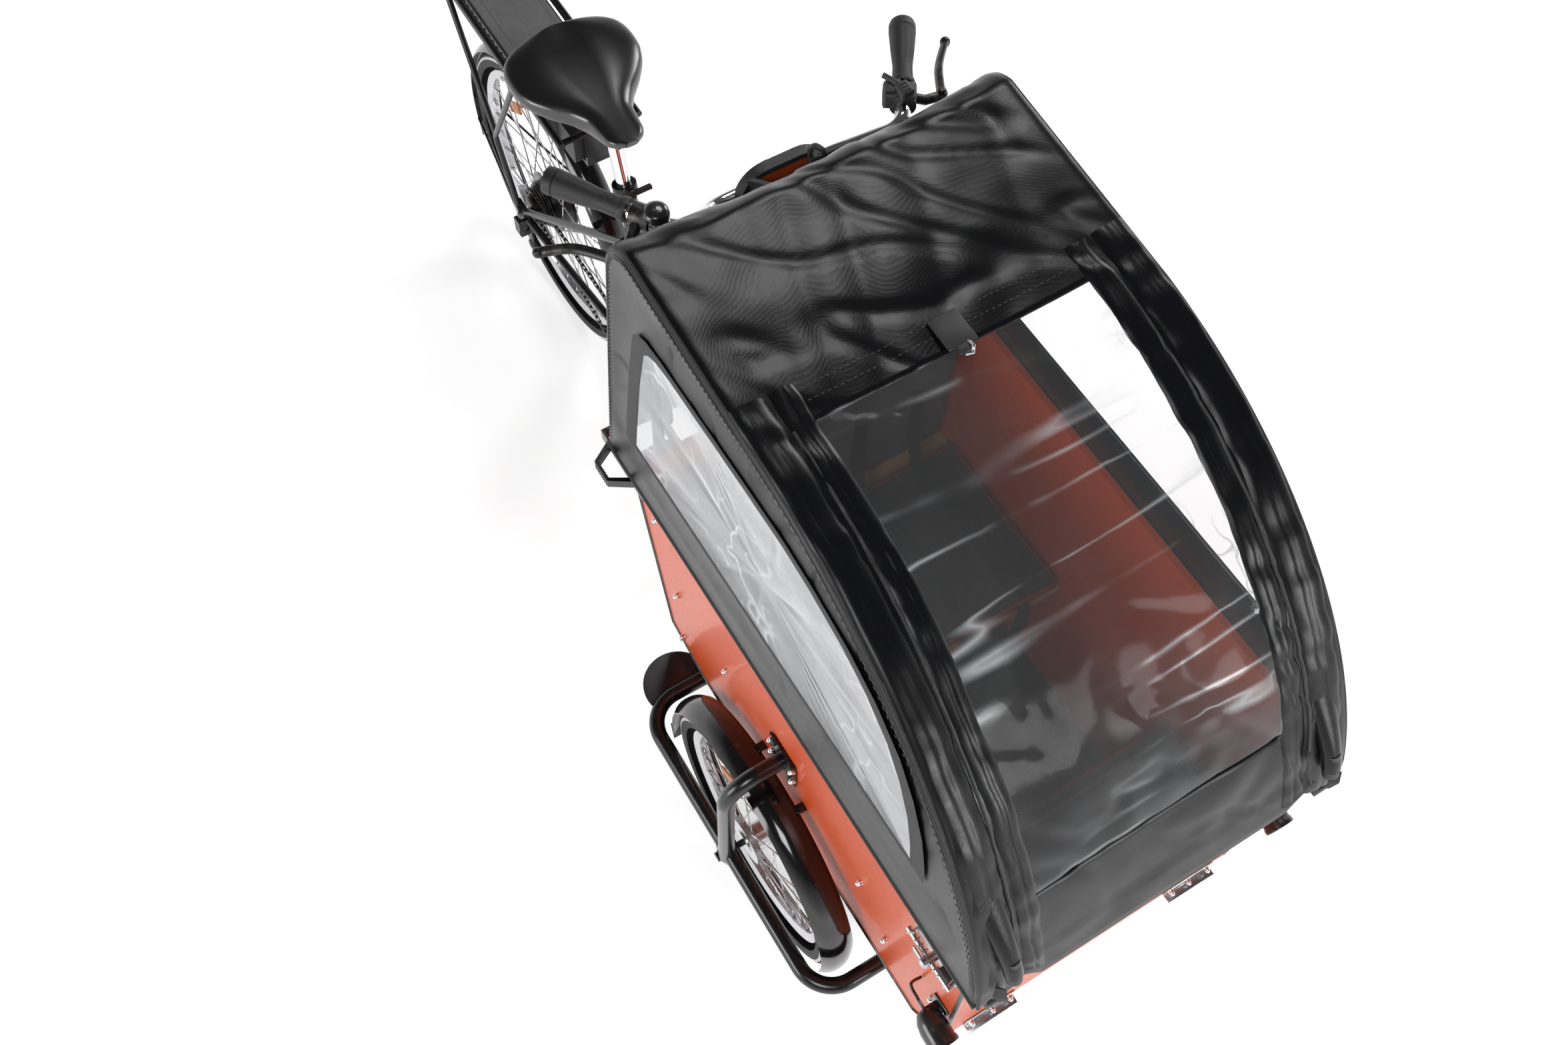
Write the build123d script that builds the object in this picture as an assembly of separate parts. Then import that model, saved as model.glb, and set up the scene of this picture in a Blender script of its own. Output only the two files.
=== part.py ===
from build123d import *
import os
from math import asin, atan2, cos, degrees, hypot, pi, radians, sin, sqrt, tan

# Electric cargo trike: a plywood box between two steered front wheels, a rain tent over it,
# and a step-through rear frame with a 26 inch wheel and a battery in its carrier.
# Millimetres, X forward, Y left, Z up. The drawing's zero is under the front axle, and
# every part is moved at export so that the origin lies under the middle of the vehicle.

os.makedirs("parts", exist_ok=True)

# Wheels
front_wheel_radius = 252.0
rear_wheel_radius = 327.0
tyre_section_radius = 24.0
wheelbase = 1365.0
front_track = 644.0
rim_depth = 15.0
rim_width = 25.0
rim_inner_width = 15.0
bead_depth = 45.0
spoke_thickness = 2.2
spoke_count = 36
axle_radius = 6.0
front_hub_radius = 36.0
front_hub_length = 64.0
motor_radius = 62.0
motor_length = 44.0
rear_hub_length = 118.0
cassette_start = 25.0
cassette_length = 32.0
cassette_small = 28.0
cassette_step = 4.0
cassette_gears = 7

# Box
box_bottom_z = 295.0
box_rim_z = 890.0
box_bottom_width = 532.0
box_top_width = 604.0
panel_thickness = 12.0
box_rear_top_x = -414.0
box_rear_low_x = -387.0
rear_chamfer_x = -284.0
rear_chamfer_z = 343.0
front_chamfer_x = 392.0
front_chamfer_z = 428.0
box_front_x = 464.0
backboard_width = 130.0
backboard_top_z = 1296.0
backboard_x = -498.0
handle_z = 838.0
handle_strip = 24.0
side_handle_x = -452.0
side_handle_length = 84.0
rear_handle_z = 1284.0

# Benches
bench_z = 560.0
bench_front_x = -20.0
front_bench_x = 262.0
bench_board = 12.0
cushion_thickness = 48.0
cushion_radius = 14.0
backrest_height = 250.0
backrest_thickness = 44.0
backrest_rise = 165.0

# Steering and front carriage
steering_x = -470.0
head_tube_bottom_z = 302.0
head_tube_length = 96.0
head_tube_radius = 24.0
steering_pin_radius = 15.0
yoke_plate = 10.0
rail_spacing = 360.0
rail_width = 30.0
rail_height = 22.0
beam_depth = 40.0
bar_post_x = -529.0
bar_post_radius = 14.0

# Wheel guards
guard_radius = 14.0
guard_half_width = 387.0
guard_front_x = 298.0
guard_rear_x = -290.0
guard_bend = 62.0
arch_x = 8.0
arch_z = 600.0
arch_y = 392.0
arch_bend = 56.0
step_radius = 62.0
step_thickness = 4.0

# Mudguards
fender_gap = 11.0
fender_thickness = 2.5
fender_width = 62.0
rear_fender_width = 56.0
fender_crown = 14.0

# Rain tent
tent_hem_drop = 38.0
tent_rear_x = -492.0
tent_rear_top_x = -462.0
tent_rear_rise = 420.0
tent_crest_x = -402.0
tent_crest_rise = 502.0
tent_shoulder_x = -60.0
tent_shoulder_rise = 470.5
bow_radius = 683.0
bow_foot_x = 487.3
bow_foot_rise = 10.0
tent_front_hem_x = 497.0
tent_top_width = 576.0
tent_hem_width = 614.4
tent_thickness = 3.0
rear_sheet_depth = 60.0
window_half_width = 206.0
window_rear_x = -112.0
window_front_x = 440.0
bow_tube_radius = 9.0
bow_foot_bend = 40.0
bow_tie_gap = 0.5
bow_plug_radius = 11.0
bow_plug_length = 42.0
bow_plug_rise = 35.0
bow_plug_y = 258.0
bow_plug_gap = 0.7

# Rear frame
chainstay_reach = 479.0
bracket_z = 290.0
bracket_shell_radius = 21.0
bracket_shell_width = 72.0
main_tube_radius = 23.0
seat_tube_radius = 17.5
seat_tube_angle = 74.0
seat_tube_top_z = 735.0
seat_post_radius = 13.6
stay_radius = 8.0
dropout_y = 72.0
dropout_thickness = 6.0
saddle_rise = 133.0
saddle_setback = 70.0
saddle_length = 295.0
saddle_width = 236.0

# Drive
chain_gear = 4
chainring_radius = 84.0
chain_depth = 8.0
chain_width = 6.0
crank_length = 170.0
crank_arm_y = 66.0
crank_arm_thickness = 13.0
pedal_length = 92.0
pedal_width = 72.0
pedal_thickness = 20.0

# Carrier and battery
carrier_z = 794.0
carrier_half_width = 76.0
carrier_front_reach = 275.0
carrier_tail = 76.0
carrier_tube_radius = 7.0
battery_length = 420.0
battery_width = 122.0
battery_height = 86.0
battery_front_reach = 189.0
battery_tray_z = 717.0
tray_thickness = 5.0

# Handlebar
bar_radius = 11.0
grip_inner = (-535.0, 214.0, 1290.0)
grip_outer = (-634.0, 279.0, 1288.0)
grip_radius = 17.0
control_inboard = 31.0
control_drop = 25.5
bar_centre_x = bar_post_x
bar_centre_z = 1232.0

# Lamps
lamp_radius = 24.0
lamp_length = 62.0
lamp_y = 311.0
lamp_z = 590.0
lamp_front_x = 489.0
rear_lamp_depth = 14.0

# Clearances
running_fit = 0.3
seat_gap = 0.3

# Worked-out values
rear_axle_x = -wheelbase
bracket_x = rear_axle_x + chainstay_reach
saddle_nose_x = bracket_x - saddle_setback
carrier_front_x = rear_axle_x + carrier_front_reach
battery_front_x = rear_axle_x + battery_front_reach
carrier_rear_x = battery_front_x - battery_length - carrier_tail
lamp_reach = -carrier_rear_x + carrier_tube_radius + seat_gap + rear_lamp_depth
rear_reach = max(wheelbase + rear_wheel_radius + fender_gap + fender_thickness, lamp_reach)
saddle_z = seat_tube_top_z + saddle_rise
tent_hem_z = box_rim_z - tent_hem_drop
tent_rear_top_z = box_rim_z + tent_rear_rise
tent_crest_z = box_rim_z + tent_crest_rise
tent_shoulder_z = box_rim_z + tent_shoulder_rise
bow_foot_z = box_rim_z + bow_foot_rise
bow_plug_low_z = box_rim_z + bow_plug_rise
cut_span = 2 * tent_crest_z
bow_chord_x = bow_foot_x - tent_shoulder_x
bow_chord_z = bow_foot_z - tent_shoulder_z
bow_chord = hypot(bow_chord_x, bow_chord_z)
bow_rise = sqrt(bow_radius ** 2 - bow_chord ** 2 / 4)
bow_centre_x = (bow_foot_x + tent_shoulder_x) / 2 + bow_rise * bow_chord_z / bow_chord
bow_centre_z = (bow_foot_z + tent_shoulder_z) / 2 - bow_rise * bow_chord_x / bow_chord
plug_circle = bow_radius + bow_plug_gap + bow_plug_radius
plug_low_x = bow_centre_x + sqrt(plug_circle ** 2 - (bow_plug_low_z - bow_centre_z) ** 2)
front_reach = plug_low_x + bow_plug_radius * (plug_low_x - bow_centre_x) / plug_circle
centre_shift = (rear_reach - front_reach) / 2
wall_lean = atan2((box_top_width - box_bottom_width) / 2, box_rim_z - box_bottom_z)
gear_pitch = cassette_length / cassette_gears
chain_y = -(cassette_start + gear_pitch * (chain_gear + 0.5))
sprocket_radius = cassette_small + cassette_step * (cassette_gears - 1 - chain_gear)
rail_z = box_bottom_z - seat_gap - rail_height / 2
rear_lean = degrees(atan2(box_rear_low_x - box_rear_top_x, box_rim_z - rear_chamfer_z))


def save(name, shape):
    """Write one sub-part, moved so that the origin is under the vehicle's middle."""
    export_step(Pos(centre_shift, 0, 0) * shape, "parts/" + name + ".step")


def pipe(points, radius, bends=None):
    """Round bar along straight runs joined by tangent arcs."""
    if len(points) == 2:
        path = Line(*points)
    else:
        path = FilletPolyline(*points, radius=bends)
    section = Plane(origin=path @ 0, z_dir=path % 0) * Circle(radius)
    return sweep(section, path=path)


def rod(start, end, radius):
    """Straight round bar between two points."""
    return pipe([start, end], radius)


def disc_y(x, y, z, radius, width):
    """Cylinder along Y, centred at x, y, z."""
    return Pos(x, y, z) * Rot(90, 0, 0) * Cylinder(radius, width)


def mirror_y(shape):
    """The same shape on the vehicle's other side."""
    return mirror(shape, about=Plane.XZ)


def both_sides(shape):
    """A right-hand and a left-hand copy in one node."""
    return Compound([shape, mirror_y(shape)])


def side_y(z):
    """Outer face of the box's side wall at a height."""
    return box_bottom_width / 2 + (z - box_bottom_z) * tan(wall_lean)


def rear_wall_x(z):
    """Outer face of the box's rear wall at a height."""
    share = (z - rear_chamfer_z) / (box_rim_z - rear_chamfer_z)
    return box_rear_low_x + share * (box_rear_top_x - box_rear_low_x)


def tyre(radius):
    """Round tyre with a flat seat on the rim, turned about Y."""
    section = Pos(radius - tyre_section_radius, 0) * Circle(tyre_section_radius)
    seat = radius - bead_depth + seat_gap
    section -= Pos(seat - tyre_section_radius, 0) * Rectangle(2 * tyre_section_radius, 2 * rim_width * 2)
    return revolve(Plane.XZ * section, Axis.Z)


def rim(radius):
    """Box-section rim with a narrow inner side, turned about Z."""
    outer = radius - bead_depth
    inner = outer - rim_depth
    half = rim_width / 2
    points = [(inner, -rim_inner_width / 2), (outer, -half), (outer, half), (inner, rim_inner_width / 2)]
    return revolve(Plane.XZ * make_face(Polyline(*points, close=True)), Axis.Z)


def spokes(radius, flange_radius, flange_y):
    """Crossed spokes from the two hub flanges to the rim."""
    reach = radius - bead_depth - rim_depth + 1.5
    lean = 360.0 / spoke_count * 2.2
    bars = []
    for number in range(spoke_count):
        side = 1 if number % 2 else -1
        twist = 1 if number % 4 < 2 else -1
        angle = radians(360.0 / spoke_count * number)
        root = angle + radians(lean) * twist * 2.4
        foot = Vector(flange_radius * cos(root), flange_radius * sin(root), side * flange_y)
        tip = Vector(reach * cos(angle), reach * sin(angle), side * 3.0)
        plane = Plane(origin=(foot + tip) / 2, z_dir=tip - foot)
        bars.append(plane * Box(spoke_thickness, spoke_thickness, (tip - foot).length))
    return bars


def upright(shape, x, y, z):
    """Turn a wheel drawn about Z so that it rolls along X, and place its hub."""
    return Pos(x, y, z) * Rot(90, 0, 0) * shape


def fender(x, y, z, radius, width, start, end):
    """Curved mudguard over a wheel, from start to end degrees, with a crowned section."""
    inner = radius + fender_gap
    section = Polyline(
        (inner - fender_crown, -width / 2),
        (inner, -width / 4),
        (inner, width / 4),
        (inner - fender_crown, width / 2),
        (inner - fender_crown + fender_thickness, width / 2),
        (inner + fender_thickness, width / 4 + 1),
        (inner + fender_thickness, -width / 4 - 1),
        (inner - fender_crown + fender_thickness, -width / 2),
        close=True,
    )
    ring = revolve(Plane.XZ * make_face(section), Axis.Z, revolution_arc=end - start)
    return Pos(x, y, z) * Rot(90, 0, 0) * Rot(0, 0, start) * ring


# Front wheels

def front_wheel_parts():
    hub = Cylinder(front_hub_radius * 0.6, front_hub_length)
    for side in (-1, 1):
        hub += Pos(0, 0, side * front_hub_length * 0.34) * Cylinder(front_hub_radius, 5)
    hub += Pos(0, 0, front_hub_length * 0.36) * Cylinder(front_hub_radius + 8, 12)
    hub -= Cylinder(axle_radius + running_fit, front_hub_length * 2)
    wheel = hub + rim(front_wheel_radius)
    wheel += spokes(front_wheel_radius, front_hub_radius - 3, front_hub_length * 0.34)
    return tyre(front_wheel_radius), wheel


def save_front_wheels():
    for side, sign in (("right", -1), ("left", 1)):
        for name, shape in zip(("tyre", "wheel"), front_wheel_parts()):
            wheel = upright(shape, 0, -front_track / 2, front_wheel_radius)
            if sign == 1:
                wheel = mirror_y(wheel)
            save("front_" + name + "_" + side, wheel)


# Rear wheel

def save_rear_wheel():
    x, z = rear_axle_x, rear_wheel_radius
    save("rear_tyre", upright(tyre(rear_wheel_radius), x, 0, z))
    hub = Cylinder(motor_radius, motor_length - 8) + Cylinder(motor_radius - 12, motor_length)
    barrel = cassette_start + rear_hub_length / 2
    hub += Pos(0, 0, cassette_start - barrel / 2 - seat_gap) * Cylinder(22, barrel)
    for side in (-1, 1):
        hub += Pos(0, 0, side * motor_length * 0.36) * Cylinder(motor_radius + 5, 3)
    hub -= Cylinder(axle_radius + running_fit, rear_hub_length * 2)
    save("rear_hub_motor", upright(hub, x, 0, z))
    laced = rim(rear_wheel_radius)
    laced += spokes(rear_wheel_radius, motor_radius + 6.5, motor_length * 0.36)
    save("rear_rim", upright(laced, x, 0, z))
    gears = Pos(0, 0, cassette_start + cassette_length / 2) * Cylinder(cassette_small - 6, cassette_length)
    for gear in range(cassette_gears):
        radius = cassette_small + cassette_step * (cassette_gears - 1 - gear)
        gears += Pos(0, 0, cassette_start + gear_pitch * (gear + 0.5)) * Cylinder(radius, 2.4)
    gears -= Cylinder(axle_radius + running_fit, 200)
    save("cassette", upright(gears, x, 0, z))


# Box

def box_side():
    """Left wall as a leaning sheet with chamfered lower corners."""
    slope = cos(wall_lean)
    points = [
        (box_rear_top_x, (box_rim_z - box_bottom_z) / slope),
        (box_rear_low_x, (rear_chamfer_z - box_bottom_z) / slope),
        (rear_chamfer_x, 0),
        (front_chamfer_x, 0),
        (box_front_x, (front_chamfer_z - box_bottom_z) / slope),
        (box_front_x, (box_rim_z - box_bottom_z) / slope),
    ]
    sheet = extrude(Plane.XZ * make_face(Polyline(*points, close=True)), amount=panel_thickness)
    return Pos(0, box_bottom_width / 2, box_bottom_z) * Rot(-degrees(wall_lean), 0, 0) * sheet


def cross_panel(x_low, z_low, x_high, z_high, outward):
    """Wall between the two sides, trimmed to their inner faces."""
    gap = seat_gap
    length = hypot(x_high - x_low, z_high - z_low)
    lean = degrees(atan2(x_high - x_low, z_high - z_low))
    half_low = side_y(z_low) - panel_thickness / cos(wall_lean) - gap
    half_high = side_y(z_high) - panel_thickness / cos(wall_lean) - gap
    face = make_face(Polyline((-half_low, 0), (half_low, 0), (half_high, length), (-half_high, length), close=True))
    sheet = extrude(Plane.YZ * face, amount=-outward * panel_thickness)
    return Pos(x_low, 0, z_low) * Rot(0, lean, 0) * sheet


def save_box():
    save("box_side_left", box_side())
    save("box_side_right", mirror_y(box_side()))
    front_start = front_chamfer_z + 4
    save("box_front", cross_panel(box_front_x, front_start, box_front_x, box_rim_z, 1))
    save("box_front_lower", cross_panel(front_chamfer_x + 1, box_bottom_z + 1, box_front_x - 1, front_chamfer_z - 3, 1))
    rear_start = rear_chamfer_z + panel_thickness + 1
    save("box_rear", cross_panel(rear_wall_x(rear_start), rear_start, box_rear_top_x, box_rim_z, -1))
    save("box_rear_lower", cross_panel(rear_chamfer_x - 1, box_bottom_z + 1, box_rear_low_x, rear_chamfer_z - 2, -1))
    floor_half = side_y(box_bottom_z + panel_thickness) - panel_thickness / cos(wall_lean) - 1
    floor_length = front_chamfer_x - rear_chamfer_x - 40
    floor = Pos((front_chamfer_x + rear_chamfer_x) / 2, 0, box_bottom_z + panel_thickness / 2 + seat_gap)
    save("box_floor", floor * Box(floor_length, 2 * floor_half, panel_thickness))


def channel_handle(reach, length):
    """Flat bent hoop with slanted ends, its middle at reach from the face it is fixed to."""
    half = length / 2
    outline = [(-half, 0), (-half + 22, reach), (half - 22, reach), (half, 0)]
    inner = [(half - 9, 0), (half - 26, reach - 5), (-half + 26, reach - 5), (-half + 9, 0)]
    return extrude(make_face(Polyline(*outline, *inner, close=True)), amount=9, both=True)


def save_backboard():
    """Raised board behind the tent, with its bracket, side handles and rear handle."""
    base_z = handle_z - handle_strip
    height = backboard_top_z - base_z
    board = Box(panel_thickness, backboard_width, height)
    board = fillet(board.edges().filter_by(Axis.X).group_by(Axis.Z)[-1], 40)
    save("backboard", Pos(backboard_x - panel_thickness / 2, 0, base_z + height / 2) * board)
    strip_y = side_y(handle_z + handle_strip / 2) + seat_gap
    back = backboard_x - panel_thickness - seat_gap
    bracket = Pos(back - 2, 0, handle_z) * Box(4, 2 * strip_y + 8, handle_strip)
    for side in (-1, 1):
        arm = Box(box_rear_top_x + 30 - back, 4, handle_strip)
        bracket += Pos((back + box_rear_top_x + 30) / 2, side * (strip_y + 2), handle_z) * arm
        hoop = Rot(0, 0, 0 if side == 1 else 180) * channel_handle(34, side_handle_length)
        bracket += Pos(side_handle_x, side * (strip_y + 4), handle_z) * hoop
    save("rear_bracket", bracket)
    rear_hoop = Rot(0, 0, -90) * channel_handle(24, 110)
    save("rear_handle", Pos(backboard_x + seat_gap, 0, rear_handle_z) * rear_hoop)


def cushion(length, width, thickness):
    """Soft block with rounded edges."""
    block = Box(length, width, thickness)
    return fillet(block.edges(), cushion_radius)


def save_benches():
    inner = side_y(bench_z - bench_board / 2) - panel_thickness / cos(wall_lean) - seat_gap
    rear_x = rear_wall_x(bench_z) + panel_thickness + 3
    seats = Pos((rear_x + bench_front_x) / 2, 0, bench_z) * Box(bench_front_x - rear_x, 2 * inner, bench_board)
    front_end = box_front_x - panel_thickness - 3
    front = Pos((front_bench_x + front_end) / 2, 0, bench_z) * Box(front_end - front_bench_x, 2 * inner, bench_board)
    save("bench_boards", Compound([seats, front]))
    top = bench_z + bench_board / 2 + seat_gap + cushion_thickness / 2
    save("cushion_rear", Pos((rear_x + bench_front_x) / 2 + 26, 0, top)
         * cushion(bench_front_x - rear_x - 52, 2 * inner - 16, cushion_thickness))
    save("cushion_front", Pos((front_bench_x + front_end) / 2, 0, top)
         * cushion(front_end - front_bench_x - 6, 2 * inner - 16, cushion_thickness))
    back_z = bench_z + backrest_rise
    back = cushion(backrest_thickness, 2 * inner - 16, backrest_height)
    back_x = rear_wall_x(back_z) + panel_thickness + backrest_thickness / 2 + 0.7
    save("cushion_back", Pos(back_x, 0, back_z) * Rot(0, -rear_lean, 0) * back)


# Steering carriage under the box

def save_carriage():
    beam_height = 2 * (rail_z - rail_height / 2 - front_wheel_radius + 2)
    carriage = Pos(0, 0, front_wheel_radius) * Box(beam_depth, 2 * (front_track / 2 - 38), beam_height)
    rail_front = front_chamfer_x - 20
    rail_rear = steering_x + 62
    for side in (-1, 1):
        rail = Box(rail_front - rail_rear, rail_width, rail_height)
        carriage += Pos((rail_front + rail_rear) / 2, side * rail_spacing / 2, rail_z) * rail
        carriage += rod((0, side * 200, front_wheel_radius), (0, side * (arch_y + 8), front_wheel_radius), axle_radius)
        carriage += disc_y(0, side * (arch_y + 12), front_wheel_radius, 9, 8)
    cross = Pos(rail_rear + 15, 0, rail_z) * Box(30, rail_spacing + rail_width, rail_height)
    carriage += cross
    top = head_tube_bottom_z + head_tube_length + seat_gap
    bottom = head_tube_bottom_z - seat_gap - yoke_plate
    post_x = steering_x + 40
    post_bottom = rail_z - rail_height / 2
    carriage += Pos(post_x, 0, (post_bottom + top + yoke_plate) / 2) * Box(14, 60, top + yoke_plate - post_bottom)
    carriage += Pos((post_x + rail_rear) / 2 + 6, 0, rail_z) * Box(rail_rear - post_x + 12, 60, rail_height)
    for plate_z in (bottom, top):
        lug = Cylinder(head_tube_radius, yoke_plate) + Pos(20, 0, 0) * Box(40, 2 * head_tube_radius, yoke_plate)
        if plate_z == top:
            seat_x = bar_post_x - steering_x
            lug += Pos(seat_x / 2, 0, 0) * Box(-seat_x, 2 * bar_post_radius + 8, yoke_plate)
            lug += Pos(seat_x, 0, 0) * Cylinder(bar_post_radius + 4, yoke_plate)
        carriage += Pos(steering_x, 0, plate_z + yoke_plate / 2) * lug
    pin_length = top - bottom + yoke_plate
    carriage += Pos(steering_x, 0, bottom + pin_length / 2) * Cylinder(steering_pin_radius, pin_length)
    save("front_carriage", carriage)


def save_guards():
    z = box_bottom_z - guard_radius - 1
    inner = rail_spacing / 2 + rail_width / 2 + seat_gap
    loop = pipe(
        [
            (guard_front_x, -inner, z),
            (guard_front_x, -guard_half_width, z),
            (guard_rear_x, -guard_half_width, z),
            (guard_rear_x, -inner, z),
        ],
        guard_radius,
        guard_bend,
    )
    wall = side_y(arch_z) + 6
    arch = pipe([(arch_x, -wall, arch_z), (arch_x, -arch_y, arch_z), (arch_x, -arch_y, front_wheel_radius + 10)],
                guard_radius, arch_bend)
    flange = Pos(arch_x, -wall + 2, arch_z) * Rot(degrees(wall_lean), 0, 0) * Box(70, 4, 90)
    eye = disc_y(0, -arch_y, front_wheel_radius, 20, 12)
    eye_hole = disc_y(0, -arch_y, front_wheel_radius, axle_radius + 0.2, 40)
    step = Pos(guard_rear_x - 14, -guard_half_width + 76, z) * Cylinder(step_radius, step_thickness)
    step -= Pos(guard_rear_x + 100, -guard_half_width + 76, z) * Box(200, 400, 20)
    guard = (loop + arch + flange + eye + step) - eye_hole
    save("wheel_guard_right", guard)
    save("wheel_guard_left", mirror_y(guard))


def save_fenders():
    y = -front_track / 2
    shell = fender(0, y, front_wheel_radius, front_wheel_radius, fender_width, -10, 190)
    for x in (-58, 62):
        height = front_wheel_radius + sqrt((front_wheel_radius + fender_gap) ** 2 - x ** 2) - fender_crown + 6
        fender_edge = y + fender_width / 2 - 4
        wall = -side_y(height + 2) - seat_gap
        shell += Pos(x, (fender_edge + wall) / 2, height) * Box(16, wall - fender_edge, 4)
    save("front_fenders", both_sides(shell))
    rear = fender(rear_axle_x, 0, rear_wheel_radius, rear_wheel_radius, rear_fender_width, 22, 196)
    crown_z = rear_wheel_radius + rear_wheel_radius + fender_gap + 1
    post_top = battery_tray_z - tray_thickness - seat_gap
    rear += Pos(rear_axle_x, 0, (crown_z + post_top) / 2) * Box(22, 14, post_top - crown_z)
    stay_y = dropout_y + dropout_thickness / 2 + seat_gap + 4
    edge = rear_wheel_radius + fender_gap - fender_crown + 1
    for side in (-1, 1):
        eye = (rear_axle_x - 17, side * stay_y, rear_wheel_radius - 14)
        end = (rear_axle_x - edge * cos(radians(8)), side * (rear_fender_width / 2 - 1), rear_wheel_radius - edge * sin(radians(8)))
        rear += rod(eye, end, 3) + disc_y(*eye, 5, 8)
    save("rear_fender", rear)


# Rain tent

def tent_profile(inset):
    """Side outline of the tent, drawn inward by inset."""
    rear = tent_rear_x + inset
    crest = (tent_crest_x + inset * 0.4, tent_crest_z - inset)
    radius = bow_radius - inset
    shoulder_z = bow_centre_z + sqrt(radius ** 2 - (tent_shoulder_x - bow_centre_x) ** 2)
    foot_x = bow_centre_x + sqrt(radius ** 2 - (bow_foot_z - bow_centre_z) ** 2)
    middle_angle = (atan2(shoulder_z - bow_centre_z, tent_shoulder_x - bow_centre_x)
                    + atan2(bow_foot_z - bow_centre_z, foot_x - bow_centre_x)) / 2
    middle = (bow_centre_x + radius * cos(middle_angle), bow_centre_z + radius * sin(middle_angle))
    corner = (tent_rear_top_x + inset, tent_rear_top_z)
    bend = (tent_rear_top_x + inset + 16, tent_rear_top_z + 54 - inset * 0.5)
    front_hem = (tent_front_hem_x - inset, tent_hem_z)
    edges = [
        Line((rear, tent_hem_z), corner),
        ThreePointArc(corner, bend, crest),
        Line(crest, (tent_shoulder_x, shoulder_z)),
        ThreePointArc((tent_shoulder_x, shoulder_z), middle, (foot_x, bow_foot_z)),
        Line((foot_x, bow_foot_z), front_hem),
        Line(front_hem, (rear, tent_hem_z)),
    ]
    return make_face(edges)


def tent_block(inset):
    """Solid filling the tent, drawn inward by inset."""
    prism = extrude(Plane.XZ * tent_profile(inset), amount=tent_hem_width, both=True)
    return prism & extrude(Plane.YZ * wedge_face(inset), amount=700, both=True)


def tent_half_width(z):
    """Outer half width of the tent at a height."""
    share = (z - tent_hem_z + 10) / (tent_crest_z + 30 - tent_hem_z)
    return (tent_hem_width + share * (tent_top_width - tent_hem_width)) / 2


def side_window_face():
    """Outline of the side window: straight sill, bowed upper edge, pointed at the front."""
    rear_sill, front_tip = (-398, 975), (318, 986)
    rear_top, roof_start, roof_end = (-364, 1243), (-300, 1271), (-19, 1273)
    return make_face([
        Line(rear_sill, rear_top),
        ThreePointArc(rear_top, (-338, 1262), roof_start),
        Line(roof_start, roof_end),
        ThreePointArc(roof_end, (170, 1222), front_tip),
        Line(front_tip, rear_sill),
    ])


def save_tent():
    """Two side sheets, a rear sheet and a roof sheet, with their clear windows."""
    shell = tent_block(0) - tent_block(tent_thickness)
    seam = tent_thickness + seat_gap
    left_half = Pos(0, cut_span / 2, 0) * Box(2 * cut_span, cut_span, 2 * cut_span)
    side = (tent_block(0) - extrude(Plane.YZ * wedge_face(seam), amount=800, both=True)) & left_half
    window = extrude(Plane.XZ * side_window_face(), amount=2000, both=True)
    clear = extrude(Plane.XZ * offset(side_window_face(), amount=-seat_gap), amount=2000, both=True)
    save("tent_side_left", side - window)
    save("tent_side_right", mirror_y(side - window))
    save("side_windows", both_sides(side & clear))
    sheet = shell & extrude(Plane.YZ * wedge_face(seam + seat_gap), amount=800, both=True)
    rear_end = tent_rear_top_x + rear_sheet_depth
    save("tent_rear", sheet & below(rear_end, tent_rear_top_z))
    roof = sheet - below(rear_end, tent_rear_top_z + seat_gap)
    save("tent_roof", roof - window_block(0))
    save("front_window", roof & window_block(seat_gap))


def below(end_x, top_z):
    """Block that reaches from far behind to end_x and up to top_z."""
    return Pos(end_x - cut_span / 2, 0, top_z - cut_span / 2) * Box(cut_span, cut_span, cut_span)


def window_block(inset):
    """Upright block through the roof's window, smaller by inset all round."""
    length = window_front_x - window_rear_x - 2 * inset
    middle_x = (window_front_x + window_rear_x) / 2
    return Pos(middle_x, 0, tent_crest_z) * Box(length, 2 * (window_half_width - inset), 900)


def wedge_face(inset):
    """Cross-section between the tent's two sides, drawn inward by inset."""
    top_half = tent_top_width / 2 - inset
    hem_half = tent_hem_width / 2 - inset
    top_z = tent_crest_z + 20
    return make_face(Polyline((-hem_half, tent_hem_z - 10), (hem_half, tent_hem_z - 10),
                              (top_half, top_z), (-top_half, top_z), close=True))


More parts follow.
